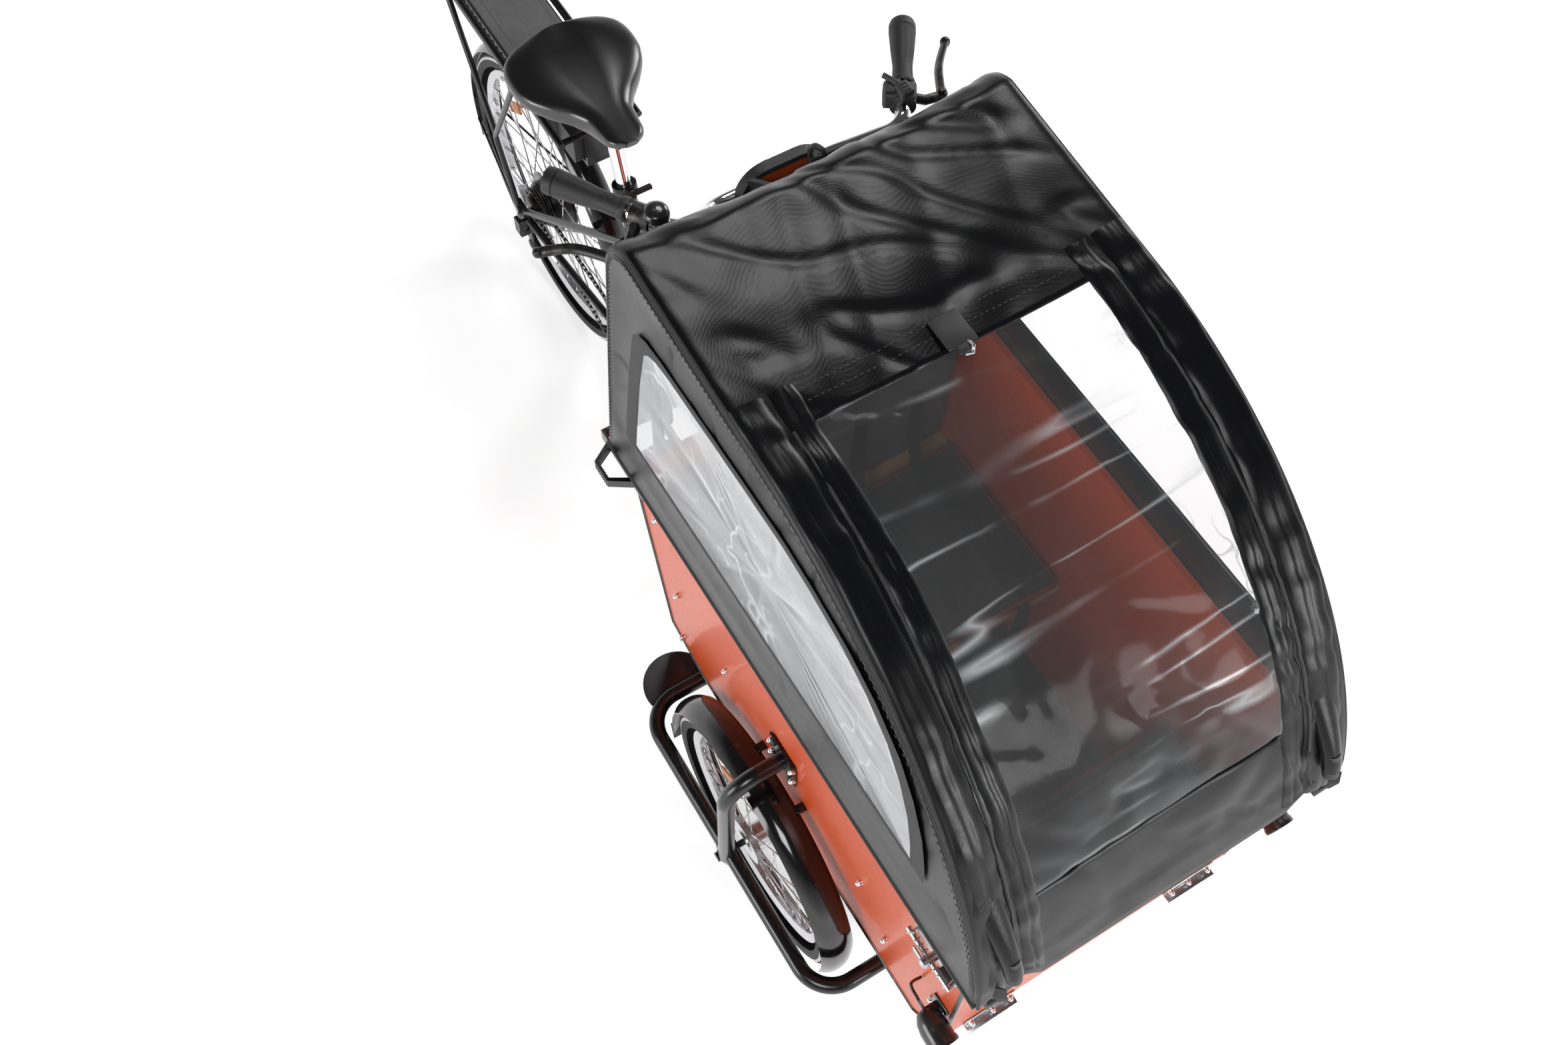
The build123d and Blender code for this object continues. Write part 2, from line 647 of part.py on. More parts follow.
def save_bows():
    """Two curved side bows tied at the crest, with the plugs at the sleeves' feet."""
    y = tent_half_width(bow_foot_z + 300) - 24
    radius = bow_radius - tent_thickness - bow_tube_radius - 6
    foot_z = bow_foot_z + 14
    foot_angle = asin((foot_z - bow_centre_z) / radius)
    foot_x = bow_centre_x + radius * cos(foot_angle)
    top_z = bow_centre_z + sqrt(radius ** 2 - (tent_shoulder_x - bow_centre_x) ** 2)
    crest_x, crest_z = tent_crest_x + 30, tent_crest_z - 24
    slope = (top_z - crest_z) / (tent_shoulder_x - crest_x)
    rise = (crest_z + slope * (foot_x - crest_x) - foot_z) / (cos(foot_angle) + slope * sin(foot_angle))
    shoulder_x = foot_x - rise * sin(foot_angle)
    shoulder_z = foot_z + rise * cos(foot_angle)
    turn = atan2(crest_z - shoulder_z, crest_x - shoulder_x) % (2 * pi) - pi / 2 - foot_angle
    bend = (rise - bow_foot_bend / 2) / tan(turn / 2)
    sides = []
    for side in (-1, 1):
        points = [
            (foot_x, side * y, box_rim_z + seat_gap),
            (foot_x, side * y, foot_z),
            (shoulder_x, side * y, shoulder_z),
            (crest_x, side * y, crest_z),
            (box_rear_top_x + 4, side * (y - 14), box_rim_z + 1.8),
        ]
        sides.append(pipe(points, bow_tube_radius, [bow_foot_bend, bend, 30]))
    tie_length = 2 * (y - bow_tube_radius - seat_gap - bow_tie_gap)
    tie = disc_y(crest_x + 12, 0, crest_z - 10, bow_tube_radius - 1, tie_length)
    save("tent_bows", Compound([*sides, tie]))
    high_z = bow_plug_low_z + bow_plug_length
    high_x = bow_centre_x + sqrt(plug_circle ** 2 - (high_z - bow_centre_z) ** 2)
    plug = rod((plug_low_x, bow_plug_y, bow_plug_low_z), (high_x, bow_plug_y, high_z), bow_plug_radius)
    save("bow_plugs", both_sides(plug))


# Rear frame

def seat_tube_point(z):
    """Point on the seat tube's axis at a height."""
    return (bracket_x - (z - bracket_z) / tan(radians(seat_tube_angle)), 0, z)


def save_main_frame():
    head_z = head_tube_bottom_z + head_tube_length / 2
    frame = Pos(steering_x, 0, head_z) * Cylinder(head_tube_radius, head_tube_length)
    frame += rod((steering_x - 8, 0, head_z), (bracket_x, 0, bracket_z + 8), main_tube_radius)
    frame += disc_y(bracket_x, 0, bracket_z, bracket_shell_radius, bracket_shell_width)
    frame += rod((bracket_x, 0, bracket_z), seat_tube_point(seat_tube_top_z), seat_tube_radius)
    brace_low = (steering_x - 150, 0, head_z - 14)
    frame += rod(brace_low, seat_tube_point(bracket_z + 190), 14)
    stay_top = seat_tube_point(620)
    frame += disc_y(stay_top[0], 0, stay_top[2], 9, 64)
    hub = (rear_axle_x, rear_wheel_radius)
    for side in (-1, 1):
        frame += rod((stay_top[0], side * 28, stay_top[2]), (hub[0] + 12, side * dropout_y, hub[1] + 16), stay_radius)
        frame += rod((bracket_x - 8, side * 24, bracket_z), (hub[0] + 18, side * dropout_y, hub[1] - 6), stay_radius)
        frame += Pos(hub[0] + 4, side * dropout_y, hub[1]) * Box(48, dropout_thickness, 52)
    frame -= Pos(steering_x, 0, head_z) * Cylinder(steering_pin_radius + running_fit, head_tube_length * 2)
    frame -= disc_y(bracket_x, 0, bracket_z, 10 + running_fit, 200)
    post_start = seat_tube_point(seat_tube_top_z - 170)
    frame -= rod(post_start, seat_tube_point(seat_tube_top_z + 40), seat_post_radius + 0.1)
    frame -= disc_y(hub[0], 0, hub[1], axle_radius + 0.2, 200)
    save("main_frame", frame)


def save_seat():
    post_top = saddle_z - 44
    save("seat_post", rod(seat_tube_point(seat_tube_top_z - 160), seat_tube_point(post_top), seat_post_radius))
    clamp_at = seat_tube_point(seat_tube_top_z - 10)
    lean = -(90 - seat_tube_angle)
    ring = Cylinder(seat_tube_radius + 5, 18) - Cylinder(seat_tube_radius + seat_gap, 40)
    ring += Pos(seat_tube_radius + 9, 0, 0) * Box(12, 12, 14)
    ring += Pos(seat_tube_radius + 10, 22, 0) * Box(9, 34, 7)
    save("seat_clamp", Pos(*clamp_at) * Rot(0, lean, 0) * ring)
    half = saddle_width / 2
    outline = [(0.0, 0.0), (0.03, 0.2), (0.12, 0.3), (0.29, 0.37), (0.44, 0.6), (0.6, 0.93), (0.72, 1.0), (0.86, 0.9),
               (0.96, 0.55), (1.0, 0.0)]
    right = [(saddle_nose_x - along * saddle_length, across * half) for along, across in outline]
    left = [(x, -y) for x, y in reversed(right[1:-1])]
    pad = extrude(make_face(Spline(*right, *left, periodic=True)), amount=0.21 * saddle_length)
    pad = fillet(pad.edges().group_by(Axis.Z)[-1], 0.068 * saddle_length)
    saddle = Pos(0, 0, saddle_z - 20) * pad
    top = seat_tube_point(post_top)
    saddle += Pos(top[0] - 6, 0, saddle_z - 29.5) * Box(46, 44, 20)
    save("saddle", saddle)


def save_carrier():
    rear, front = carrier_rear_x, carrier_front_x
    y = carrier_half_width
    deck = pipe([(front, -y, carrier_z), (rear, -y, carrier_z), (rear, y, carrier_z), (front, y, carrier_z)],
                carrier_tube_radius, 36)
    tray_top = battery_tray_z
    tray_rear = battery_front_x - battery_length - 12
    for x in (front - 8, tray_rear):
        deck += rod((x, -y, carrier_z), (x, y, carrier_z), carrier_tube_radius - 1)
        hanger_height = carrier_z - tray_top + tray_thickness
        deck += Pos(x, 0, carrier_z - hanger_height / 2) * Box(tray_thickness, 60, hanger_height)
    tray_length = front - 8 - tray_rear
    deck += Pos(tray_rear + tray_length / 2, 0, tray_top - tray_thickness / 2) * Box(tray_length, 60, tray_thickness)
    leg_radius = carrier_tube_radius - 1
    foot_y = dropout_y + dropout_thickness / 2 + seat_gap + leg_radius
    for side in (-1, 1):
        foot = (rear_axle_x - 4, side * foot_y, rear_wheel_radius + 20)
        knee = (rear_axle_x - 48, side * (y + 10), 520)
        deck += pipe([(front - 180, side * y, carrier_z), knee, foot], leg_radius, 30)
        deck += rod((rear + 90, side * y, carrier_z), (knee[0] + 6, knee[1], knee[2] + 10), leg_radius)
        deck += disc_y(*foot, 9, 2 * leg_radius)
    save("rear_carrier", deck)


def save_battery():
    floor = battery_tray_z + seat_gap
    pack = Pos(battery_front_x - battery_length / 2, 0, floor + battery_height / 2)
    pack = pack * Box(battery_length, battery_width, battery_height)
    save("battery", fillet(pack.edges().filter_by(Axis.X), 8))
    dock_height = battery_height - 22
    dock_length = carrier_front_x - battery_front_x - 16
    dock = Pos(battery_front_x + 1 + dock_length / 2, 0, floor + dock_height / 2)
    dock = dock * Box(dock_length, battery_width - 26, dock_height)
    save("battery_dock", fillet(dock.edges().filter_by(Axis.Y), 10))
    lamp_x = carrier_rear_x - carrier_tube_radius - seat_gap - rear_lamp_depth / 2
    lamp = Pos(lamp_x, 0, carrier_z) * Box(rear_lamp_depth, 84, 40)
    save("rear_light", fillet(lamp.edges().filter_by(Axis.X), 10))


def belt_face(near, near_radius, far, far_radius):
    """Filled outline of a belt round two circles."""
    along = Vector(far[0] - near[0], far[1] - near[1])
    base = degrees(atan2(along.Y, along.X))
    open_angle = degrees(atan2(sqrt(along.length ** 2 - (near_radius - far_radius) ** 2), near_radius - far_radius))

    def at(centre, radius, angle):
        return (centre[0] + radius * cos(radians(angle)), centre[1] + radius * sin(radians(angle)))

    up, down = base + open_angle, base - open_angle
    return make_face([
        Line(at(near, near_radius, up), at(far, far_radius, up)),
        ThreePointArc(at(far, far_radius, up), at(far, far_radius, base), at(far, far_radius, down)),
        Line(at(far, far_radius, down), at(near, near_radius, down)),
        ThreePointArc(at(near, near_radius, down), at(near, near_radius, base + 180), at(near, near_radius, up)),
    ])


def save_drive():
    near = (bracket_x, bracket_z)
    far = (rear_axle_x, rear_wheel_radius)
    gap = 1.0
    outer = belt_face(near, chainring_radius + gap + chain_depth, far, sprocket_radius + gap + chain_depth)
    inner = belt_face(near, chainring_radius + gap, far, sprocket_radius + gap)
    chain = extrude(Plane.XZ * (outer - inner), amount=chain_width / 2, both=True)
    save("chain", Pos(0, chain_y, 0) * chain)
    crank = disc_y(bracket_x, 0, bracket_z, 10, 2 * crank_arm_y)
    ring = disc_y(bracket_x, chain_y, bracket_z, chainring_radius, 4)
    ring -= disc_y(bracket_x, chain_y, bracket_z, chainring_radius - 22, 10)
    crank += ring
    for spoke in range(5):
        arm = Pos((chainring_radius - 8) / 2, 0, 0) * Box(chainring_radius - 8, 4, 16)
        crank += Pos(bracket_x, chain_y, bracket_z) * Rot(0, 72 * spoke, 0) * arm
    for side in (-1, 1):
        x_end = bracket_x - side * crank_length
        arm = Box(crank_length, crank_arm_thickness, 24)
        crank += Pos((bracket_x + x_end) / 2, side * crank_arm_y, bracket_z) * arm
        crank += disc_y(bracket_x, side * crank_arm_y, bracket_z, 18, crank_arm_thickness)
        crank += disc_y(x_end, side * crank_arm_y, bracket_z, 12, crank_arm_thickness)
        pin_y = side * (crank_arm_y + crank_arm_thickness / 2 + 40)
        crank += disc_y(x_end, pin_y, bracket_z, 5, 80)
        pedal_y = side * (crank_arm_y + crank_arm_thickness / 2 + 4 + pedal_length / 2)
        pedal = Box(pedal_width, pedal_length, pedal_thickness)
        pedal = fillet(pedal.edges().filter_by(Axis.Z), 12)
        pedal = Pos(x_end, pedal_y, bracket_z) * pedal - disc_y(x_end, pin_y, bracket_z, 5 + running_fit, 81)
        save("pedal_" + ("left" if side == 1 else "right"), pedal)
    save("crank_set", crank)
    hanger_x = rear_axle_x
    outer_face = -(dropout_y + dropout_thickness / 2 + seat_gap)
    cage_z = rear_wheel_radius - cassette_small - 38
    body = Pos(hanger_x, outer_face - 9, rear_wheel_radius - 25) * Box(22, 18, 26)
    body += Pos(hanger_x - 10, outer_face - 9, cage_z + 22) * Box(22, 14, 40)
    body += Pos(hanger_x - 10, outer_face + 2, cage_z) * Box(18, 30, 14)
    body += Pos(hanger_x - 10, -(cassette_start + cassette_length + 7), cage_z - 26) * Box(20, 4, 80)
    for pulley_z in (cage_z + 2, cage_z - 54):
        body += disc_y(hanger_x - 10, -(cassette_start + cassette_length + 4), pulley_z, 13, 8)
    save("derailleur", body)
    axle = disc_y(rear_axle_x, 0, rear_wheel_radius, axle_radius, 2 * (dropout_y + 16))
    for side in (-1, 1):
        axle += disc_y(rear_axle_x, side * (dropout_y + 10), rear_wheel_radius, 10, 8)
    save("rear_axle", axle)


# Handlebar and its fittings, fixed to the box

def save_handlebar():
    gx, gy, gz = grip_inner
    ox, oy, oz = grip_outer
    share = 0.6
    knee = (gx + share * (gx - ox), -(gy + share * (gy - oy)), gz + share * (gz - oz))
    points = [(ox, -oy, oz), knee, (bar_centre_x + 6, -100, bar_centre_z + 6), (bar_centre_x, 0, bar_centre_z)]
    half = pipe(points, bar_radius, [22, 60])
    bar = half + mirror_y(half)
    bar += Pos(bar_post_x, 0, bar_centre_z) * Cylinder(bar_post_radius + 3, 44)
    top_plate = head_tube_bottom_z + head_tube_length + seat_gap + yoke_plate
    bar += rod((bar_post_x, 0, top_plate + seat_gap), (bar_post_x, 0, bar_centre_z), bar_post_radius)
    save("handlebar", bar)
    grips, levers = [], []
    for side in (-1, 1):
        start = Vector(gx, side * gy, gz)
        end = Vector(ox, side * oy, oz)
        along = (end - start).normalized()
        grip = rod(start, end + along * 3, grip_radius) - rod(start - along * 10, end, bar_radius + 0.1)
        grips.append(grip)
        root = Vector(-484, side * 246, gz - 6)
        ball = Vector(-552, side * 328, gz - 8)
        seat = start - along * 16
        lever = rod(root, ball, 5) + Pos(*ball) * Sphere(8)
        lever += rod(seat - along * 9, seat + along * 9, bar_radius + 6) + rod(root, seat, 7)
        levers.append(lever - rod(seat - along * 60, end, bar_radius + 0.2))
    save("grips", Compound(grips))
    save("brake_levers", Compound(levers))
    start = Vector(gx, -gy, gz)
    along = (Vector(ox, -oy, oz) - start).normalized()
    at = start - along * 42
    dome = Cylinder(19, 20)
    dome = fillet(dome.edges().group_by(Axis.Z)[-1], 6)
    bell = Pos(at.X, at.Y, at.Z + bar_radius + 18) * dome
    bell += Pos(at.X, at.Y, at.Z + bar_radius + 6) * Cylinder(6, 10)
    bell += rod(at - along * 5, at + along * 5, bar_radius + 4)
    save("bell", bell - rod(at - along * 20, at + along * 20, bar_radius + 0.2))
    controls = []
    for side in (-1, 1):
        start = Vector(gx, side * gy, gz)
        along = (Vector(ox, side * oy, oz) - start).normalized()
        at = start - along * control_inboard
        body_z = at.Z + side * control_drop
        control = rod(at - along * 5, at + along * 5, control_drop - 7)
        control += Pos(at.X, at.Y, body_z) * Box(26, 20, 16)
        control += rod(Vector(at.X - 8, at.Y, body_z), Vector(at.X - 36, at.Y - side * 12, body_z), 4)
        controls.append(control - rod(at - along * 8, at + along * 20, bar_radius + 0.2))
    save("bar_controls", Compound(controls))


def save_fittings():
    lamp = Pos(lamp_front_x - lamp_length / 2, -lamp_y, lamp_z) * Rot(0, 98, 0) * Cylinder(lamp_radius, lamp_length)
    foot_y = side_y(lamp_z + 24) + seat_gap
    lamp += Pos(lamp_front_x - lamp_length / 2 - 20, -(foot_y + 2), lamp_z) * Box(34, 4, 48)
    lamp = lamp - Pos(0, 0, lamp_z) * Box(2000, 2 * foot_y, 200)
    save("headlights", both_sides(lamp))
    latch_z = 806
    face_y = side_y(latch_z + 13) + seat_gap
    latch = Pos(402, -face_y - 2, latch_z) * Box(100, 4, 24)
    latch += rod((450, -face_y - 12, latch_z), (352, -face_y - 12, latch_z - 4), 5)
    latch += rod((402, -face_y - 2, latch_z), (402, -face_y - 38, latch_z - 8), 9)
    save("latches", both_sides(latch))


save_front_wheels()
save_rear_wheel()
save_box()
save_backboard()
save_benches()
save_carriage()
save_guards()
save_fenders()
save_tent()
save_bows()
save_main_frame()
save_seat()
save_carrier()
save_battery()
save_drive()
save_handlebar()
save_fittings()
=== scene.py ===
"""Looks of an electric cargo trike: finishes, rain tent, cushions, saddle, wheels and small fittings."""

import logging
import math
from dataclasses import dataclass, field
from enum import Enum
from itertools import pairwise, product

import bmesh
import bpy
from mathutils import Matrix, Vector, noise


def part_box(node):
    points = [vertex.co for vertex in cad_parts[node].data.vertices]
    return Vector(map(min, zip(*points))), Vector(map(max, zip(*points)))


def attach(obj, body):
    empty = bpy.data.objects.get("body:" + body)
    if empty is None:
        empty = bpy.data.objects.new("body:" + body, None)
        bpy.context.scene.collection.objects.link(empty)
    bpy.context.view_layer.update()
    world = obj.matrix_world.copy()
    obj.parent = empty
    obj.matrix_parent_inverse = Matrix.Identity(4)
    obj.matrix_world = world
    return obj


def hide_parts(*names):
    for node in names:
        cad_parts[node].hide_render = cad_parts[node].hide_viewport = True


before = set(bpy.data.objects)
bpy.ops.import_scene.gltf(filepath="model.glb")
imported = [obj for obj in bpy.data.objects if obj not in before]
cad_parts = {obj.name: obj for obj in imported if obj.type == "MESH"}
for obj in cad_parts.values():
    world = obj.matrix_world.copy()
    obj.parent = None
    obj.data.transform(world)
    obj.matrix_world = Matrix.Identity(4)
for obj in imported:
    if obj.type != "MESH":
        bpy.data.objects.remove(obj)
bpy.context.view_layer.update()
log = logging.getLogger("trike")

Point = tuple[float, float, float]
Color = tuple[float, float, float]
Outline = list[tuple[float, float]]
Tree = bpy.types.NodeTree
Socket = bpy.types.NodeSocket

UP = Vector((0, 0, 1))
FORWARD = Vector((1, 0, 0))
LEFTWARD = Vector((0, 1, 0))
SIDES = {"right": -1, "left": 1}
BOTH = tuple(SIDES.values())

# Driving sizes in millimetres, from the ground under the front axle
WHEEL_Y = 322.0
FRONT_RADIUS = 252.0
REAR_RADIUS = 327.0
REAR_AXLE: Point = (-1365.0, 0.0, REAR_RADIUS)
CRANK: Point = (-886.0, 0.0, 290.0)
BAR_RADIUS = 11.4
WELD_DISTANCE = 1e-6


class Body(Enum):
    """Rigid bodies of the model."""

    FRONT = "front_unit"
    REAR = "rear_frame"
    REAR_WHEEL = "rear_wheel"
    LEFT_WHEEL = "left_wheel"
    RIGHT_WHEEL = "right_wheel"
    CRANK = "crank"
    LEFT_PEDAL = "left_pedal"
    RIGHT_PEDAL = "right_pedal"


class Relief(Enum):
    """Kinds of fine surface relief."""

    GRAIN = "grain"
    LEATHER = "leather"
    WEAVE = "weave"
    CRINKLE = "crinkle"
    BRUSHED = "brushed"
    WOOD = "wood"


def zero_x() -> float:
    """Position along X of the drawing's zero, under the front axle, in metres."""
    low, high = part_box("front_tyre_right")
    return (low.x + high.x) / 2


ZERO_X = zero_x()


def at(x: float, y: float, z: float) -> Vector:
    """Point in the row frame, in metres, from the drawing's millimetres."""
    return Vector((x / 1000 + ZERO_X, y / 1000, z / 1000))


def turns(count: int) -> list[float]:
    """Even angles round a full turn."""
    return [2 * math.pi * k / count for k in range(count)]


def way(angle: float) -> Vector:
    """Unit vector in the plane of a wheel."""
    return Vector((math.cos(angle), 0, math.sin(angle)))


def ring(centre: Vector, side: Vector, up: Vector, radius: float, count: int,
         flat: float = 1.0) -> list[Vector]:
    """Points of a circle or a flattened circle.

    Args:
        centre: Its centre.
        side: Unit vector in its plane.
        up: Unit vector in its plane, at right angles to side.
        radius: Radius in metres.
        count: Number of points.
        flat: Height as a share of the width.

    Returns:
        The points.
    """
    return [centre + side * math.cos(a) * radius + up * math.sin(a) * radius * flat for a in turns(count)]


def smooth_line(points: list[Vector], steps: int = 8) -> list[Vector]:
    """Points of a smooth line through points."""
    line = []
    last = len(points) - 1
    for i in range(last):
        p0, p1, p2, p3 = points[max(0, i - 1)], points[i], points[i + 1], points[min(last, i + 2)]
        for k in range(steps):
            t = k / steps
            line.append(0.5 * ((2 * p1) + (p2 - p0) * t + (2 * p0 - 5 * p1 + 4 * p2 - p3) * t ** 2
                               + (3 * p1 - p0 - 3 * p2 + p3) * t ** 3))
    return line + [points[-1]]


# Shader nodes and groups


def feed(tree: Tree, socket: Socket, value: object) -> None:
    """Links a socket to an input, or sets the input to a value."""
    if isinstance(value, Socket):
        tree.links.new(value, socket)
    else:
        socket.default_value = value


def add_node(tree: Tree, kind: str, inputs: dict[str, object] | None = None,
             **settings: object) -> bpy.types.Node:
    """Adds a shader node.

    Args:
        tree: The tree to add to.
        kind: The node's type, without its first words.
        inputs: Numbers, colours or sockets, by the input's name.
        settings: Values of the node's own properties.

    Returns:
        The node.
    """
    node = tree.nodes.new("ShaderNode" + kind)
    for name, value in settings.items():
        setattr(node, name, value)
    for name, value in (inputs or {}).items():
        feed(tree, node.inputs[name], value)
    return node


def math_node(tree: Tree, operation: str, first: object, second: object) -> Socket:
    """Adds a math node.

    Args:
        tree: The tree to add to.
        operation: Name of the operation.
        first: Number or socket.
        second: Number or socket.

    Returns:
        The node's output socket.
    """
    node = add_node(tree, "Math", operation=operation)
    feed(tree, node.inputs[0], first)
    feed(tree, node.inputs[1], second)
    return node.outputs[0]


def limited(tree: Tree, value: Socket, low: float = 0.0) -> Socket:
    """Keeps a value between a low limit and one."""
    return math_node(tree, "MINIMUM", math_node(tree, "MAXIMUM", value, low), 1.0)


def rescaled(tree: Tree, value: Socket, zero: float, factor: object) -> Socket:
    """Takes a zero off a value and multiplies the rest."""
    return math_node(tree, "MULTIPLY", math_node(tree, "SUBTRACT", value, zero), factor)


def noise_node(tree: Tree, place: Socket, scale: object, detail: float) -> Socket:
    """Adds a noise texture and returns its value."""
    return add_node(tree, "TexNoise", {"Vector": place, "Scale": scale, "Detail": detail}).outputs["Fac"]


def new_group(name: str, inputs: dict[str, object], outputs: tuple[str, ...]) -> tuple:
    """Adds a shader group with its sockets.

    Args:
        name: The group's name.
        inputs: Default values by name, where a tuple makes a colour.
        outputs: Names of the outputs, where Color makes a colour.

    Returns:
        The group, its input sockets, its output sockets and the object coordinates.
    """
    tree = bpy.data.node_groups.new(name, "ShaderNodeTree")
    for word, value in inputs.items():
        kind = "NodeSocketColor" if isinstance(value, tuple) else "NodeSocketFloat"
        tree.interface.new_socket(name=word, in_out="INPUT", socket_type=kind).default_value = value
    for word in outputs:
        kind = "NodeSocketColor" if word == "Color" else "NodeSocketFloat"
        tree.interface.new_socket(name=word, in_out="OUTPUT", socket_type=kind)
    enter = tree.nodes.new("NodeGroupInput").outputs
    leave = tree.nodes.new("NodeGroupOutput").inputs
    return tree, enter, leave, add_node(tree, "TexCoord").outputs["Object"]


def ageing_group(cloud_scale: float = 7.0, speck_scale: float = 90.0) -> Tree:
    """Group that varies a colour and a roughness, and rubs or dusts them in patches."""
    grey = (0.5, 0.5, 0.5, 1)
    inputs = {"Color": grey, "Worn Color": grey, "Variation": 0.1, "Wear": 0.1, "Roughness": 0.4,
              "Spread": 0.1}
    tree, enter, leave, place = new_group("ageing", inputs, ("Color", "Roughness"))
    cloud = noise_node(tree, place, cloud_scale, 3.0)
    speck = noise_node(tree, place, speck_scale, 4.0)
    bright = math_node(tree, "ADD", 1.0, rescaled(tree, cloud, 0.5, enter["Variation"]))
    scaled = add_node(tree, "VectorMath", {"Vector": enter["Color"], "Scale": bright}, operation="SCALE")
    rubbed = limited(tree, rescaled(tree, math_node(tree, "MULTIPLY", speck, cloud), 0.26, 14.0))
    mask = math_node(tree, "MULTIPLY", rubbed, enter["Wear"])
    mix = add_node(tree, "Mix", {"Factor": mask, "A": scaled.outputs[0], "B": enter["Worn Color"]},
                   data_type="RGBA")
    feed(tree, leave["Color"], mix.outputs["Result"])
    swing = rescaled(tree, speck, 0.5, enter["Spread"])
    feed(tree, leave["Roughness"], math_node(tree, "ADD", enter["Roughness"], swing))
    return tree


def relief_group(kind: Relief) -> Tree:
    """Group that gives a height for one kind of fine relief, at the input Scale."""
    tree, enter, leave, place = new_group("relief_" + kind.value, {"Scale": 200.0}, ("Height",))
    where = {"Vector": place, "Scale": enter["Scale"]}
    if kind is Relief.GRAIN:
        height = noise_node(tree, place, enter["Scale"], 2.0)
    elif kind is Relief.LEATHER:
        height = add_node(tree, "TexVoronoi", where).outputs["Distance"]
    elif kind is Relief.WEAVE:
        waves = [add_node(tree, "TexWave", where, bands_direction=axis).outputs["Fac"] for axis in "XYZ"]
        height = math_node(tree, "ADD", math_node(tree, "MULTIPLY", waves[0], waves[1]), waves[2])
    elif kind is Relief.CRINKLE:
        folded = where | {"Detail": 3.0, "Distortion": 0.6}
        height = add_node(tree, "TexNoise", folded, noise_type="RIDGED_MULTIFRACTAL").outputs["Fac"]
    else:
        grain = add_node(tree, "Mapping", {"Vector": place, "Scale": (0.06, 1.0, 1.0)})
        height = noise_node(tree, grain.outputs["Vector"], enter["Scale"], 3.0)
    feed(tree, leave["Height"], height)
    return tree


def painted_glint_group(sharpness: float = 26.0, patch_scale: float = 4.2, haze: float = 0.06) -> Tree:
    """Group for clear film's opacity: nearly nothing, with painted highlights as pale crease lines."""
    inputs = {"Scale": 4.0, "Clear": 0.05, "Painted Glint": 0.5}
    tree, enter, leave, place = new_group("film_painted_crease_glints", inputs, ("Opacity",))
    turn = add_node(tree, "Mapping", {"Vector": place, "Rotation": (0.05, 0.1, 0.16),
                                      "Scale": (3.6, 0.3, 3.6)})
    fold = noise_node(tree, turn.outputs["Vector"], enter["Scale"], 1.6)
    patch = noise_node(tree, place, patch_scale, 2.0)
    off = math_node(tree, "ABSOLUTE", math_node(tree, "SUBTRACT", fold, 0.5), 0.0)
    line = math_node(tree, "SUBTRACT", 1.0, math_node(tree, "MULTIPLY", off, sharpness))
    thin = math_node(tree, "POWER", math_node(tree, "MAXIMUM", line, 0.0), 1.6)
    there = limited(tree, rescaled(tree, patch, 0.47, 7.0), 0.03)
    # Painted highlight: thin pale opaque lines along the creases, in patches, stand in for glints on the
    # film.
    mask = math_node(tree, "MULTIPLY", math_node(tree, "MULTIPLY", thin, there), enter["Painted Glint"])
    hazy = math_node(tree, "ADD", mask, math_node(tree, "MULTIPLY", patch, haze))
    feed(tree, leave["Opacity"], math_node(tree, "ADD", hazy, enter["Clear"]))
    return tree


AGEING = ageing_group()
RELIEFS = {kind: relief_group(kind) for kind in Relief}
PAINTED_CREASE_GLINTS = painted_glint_group()


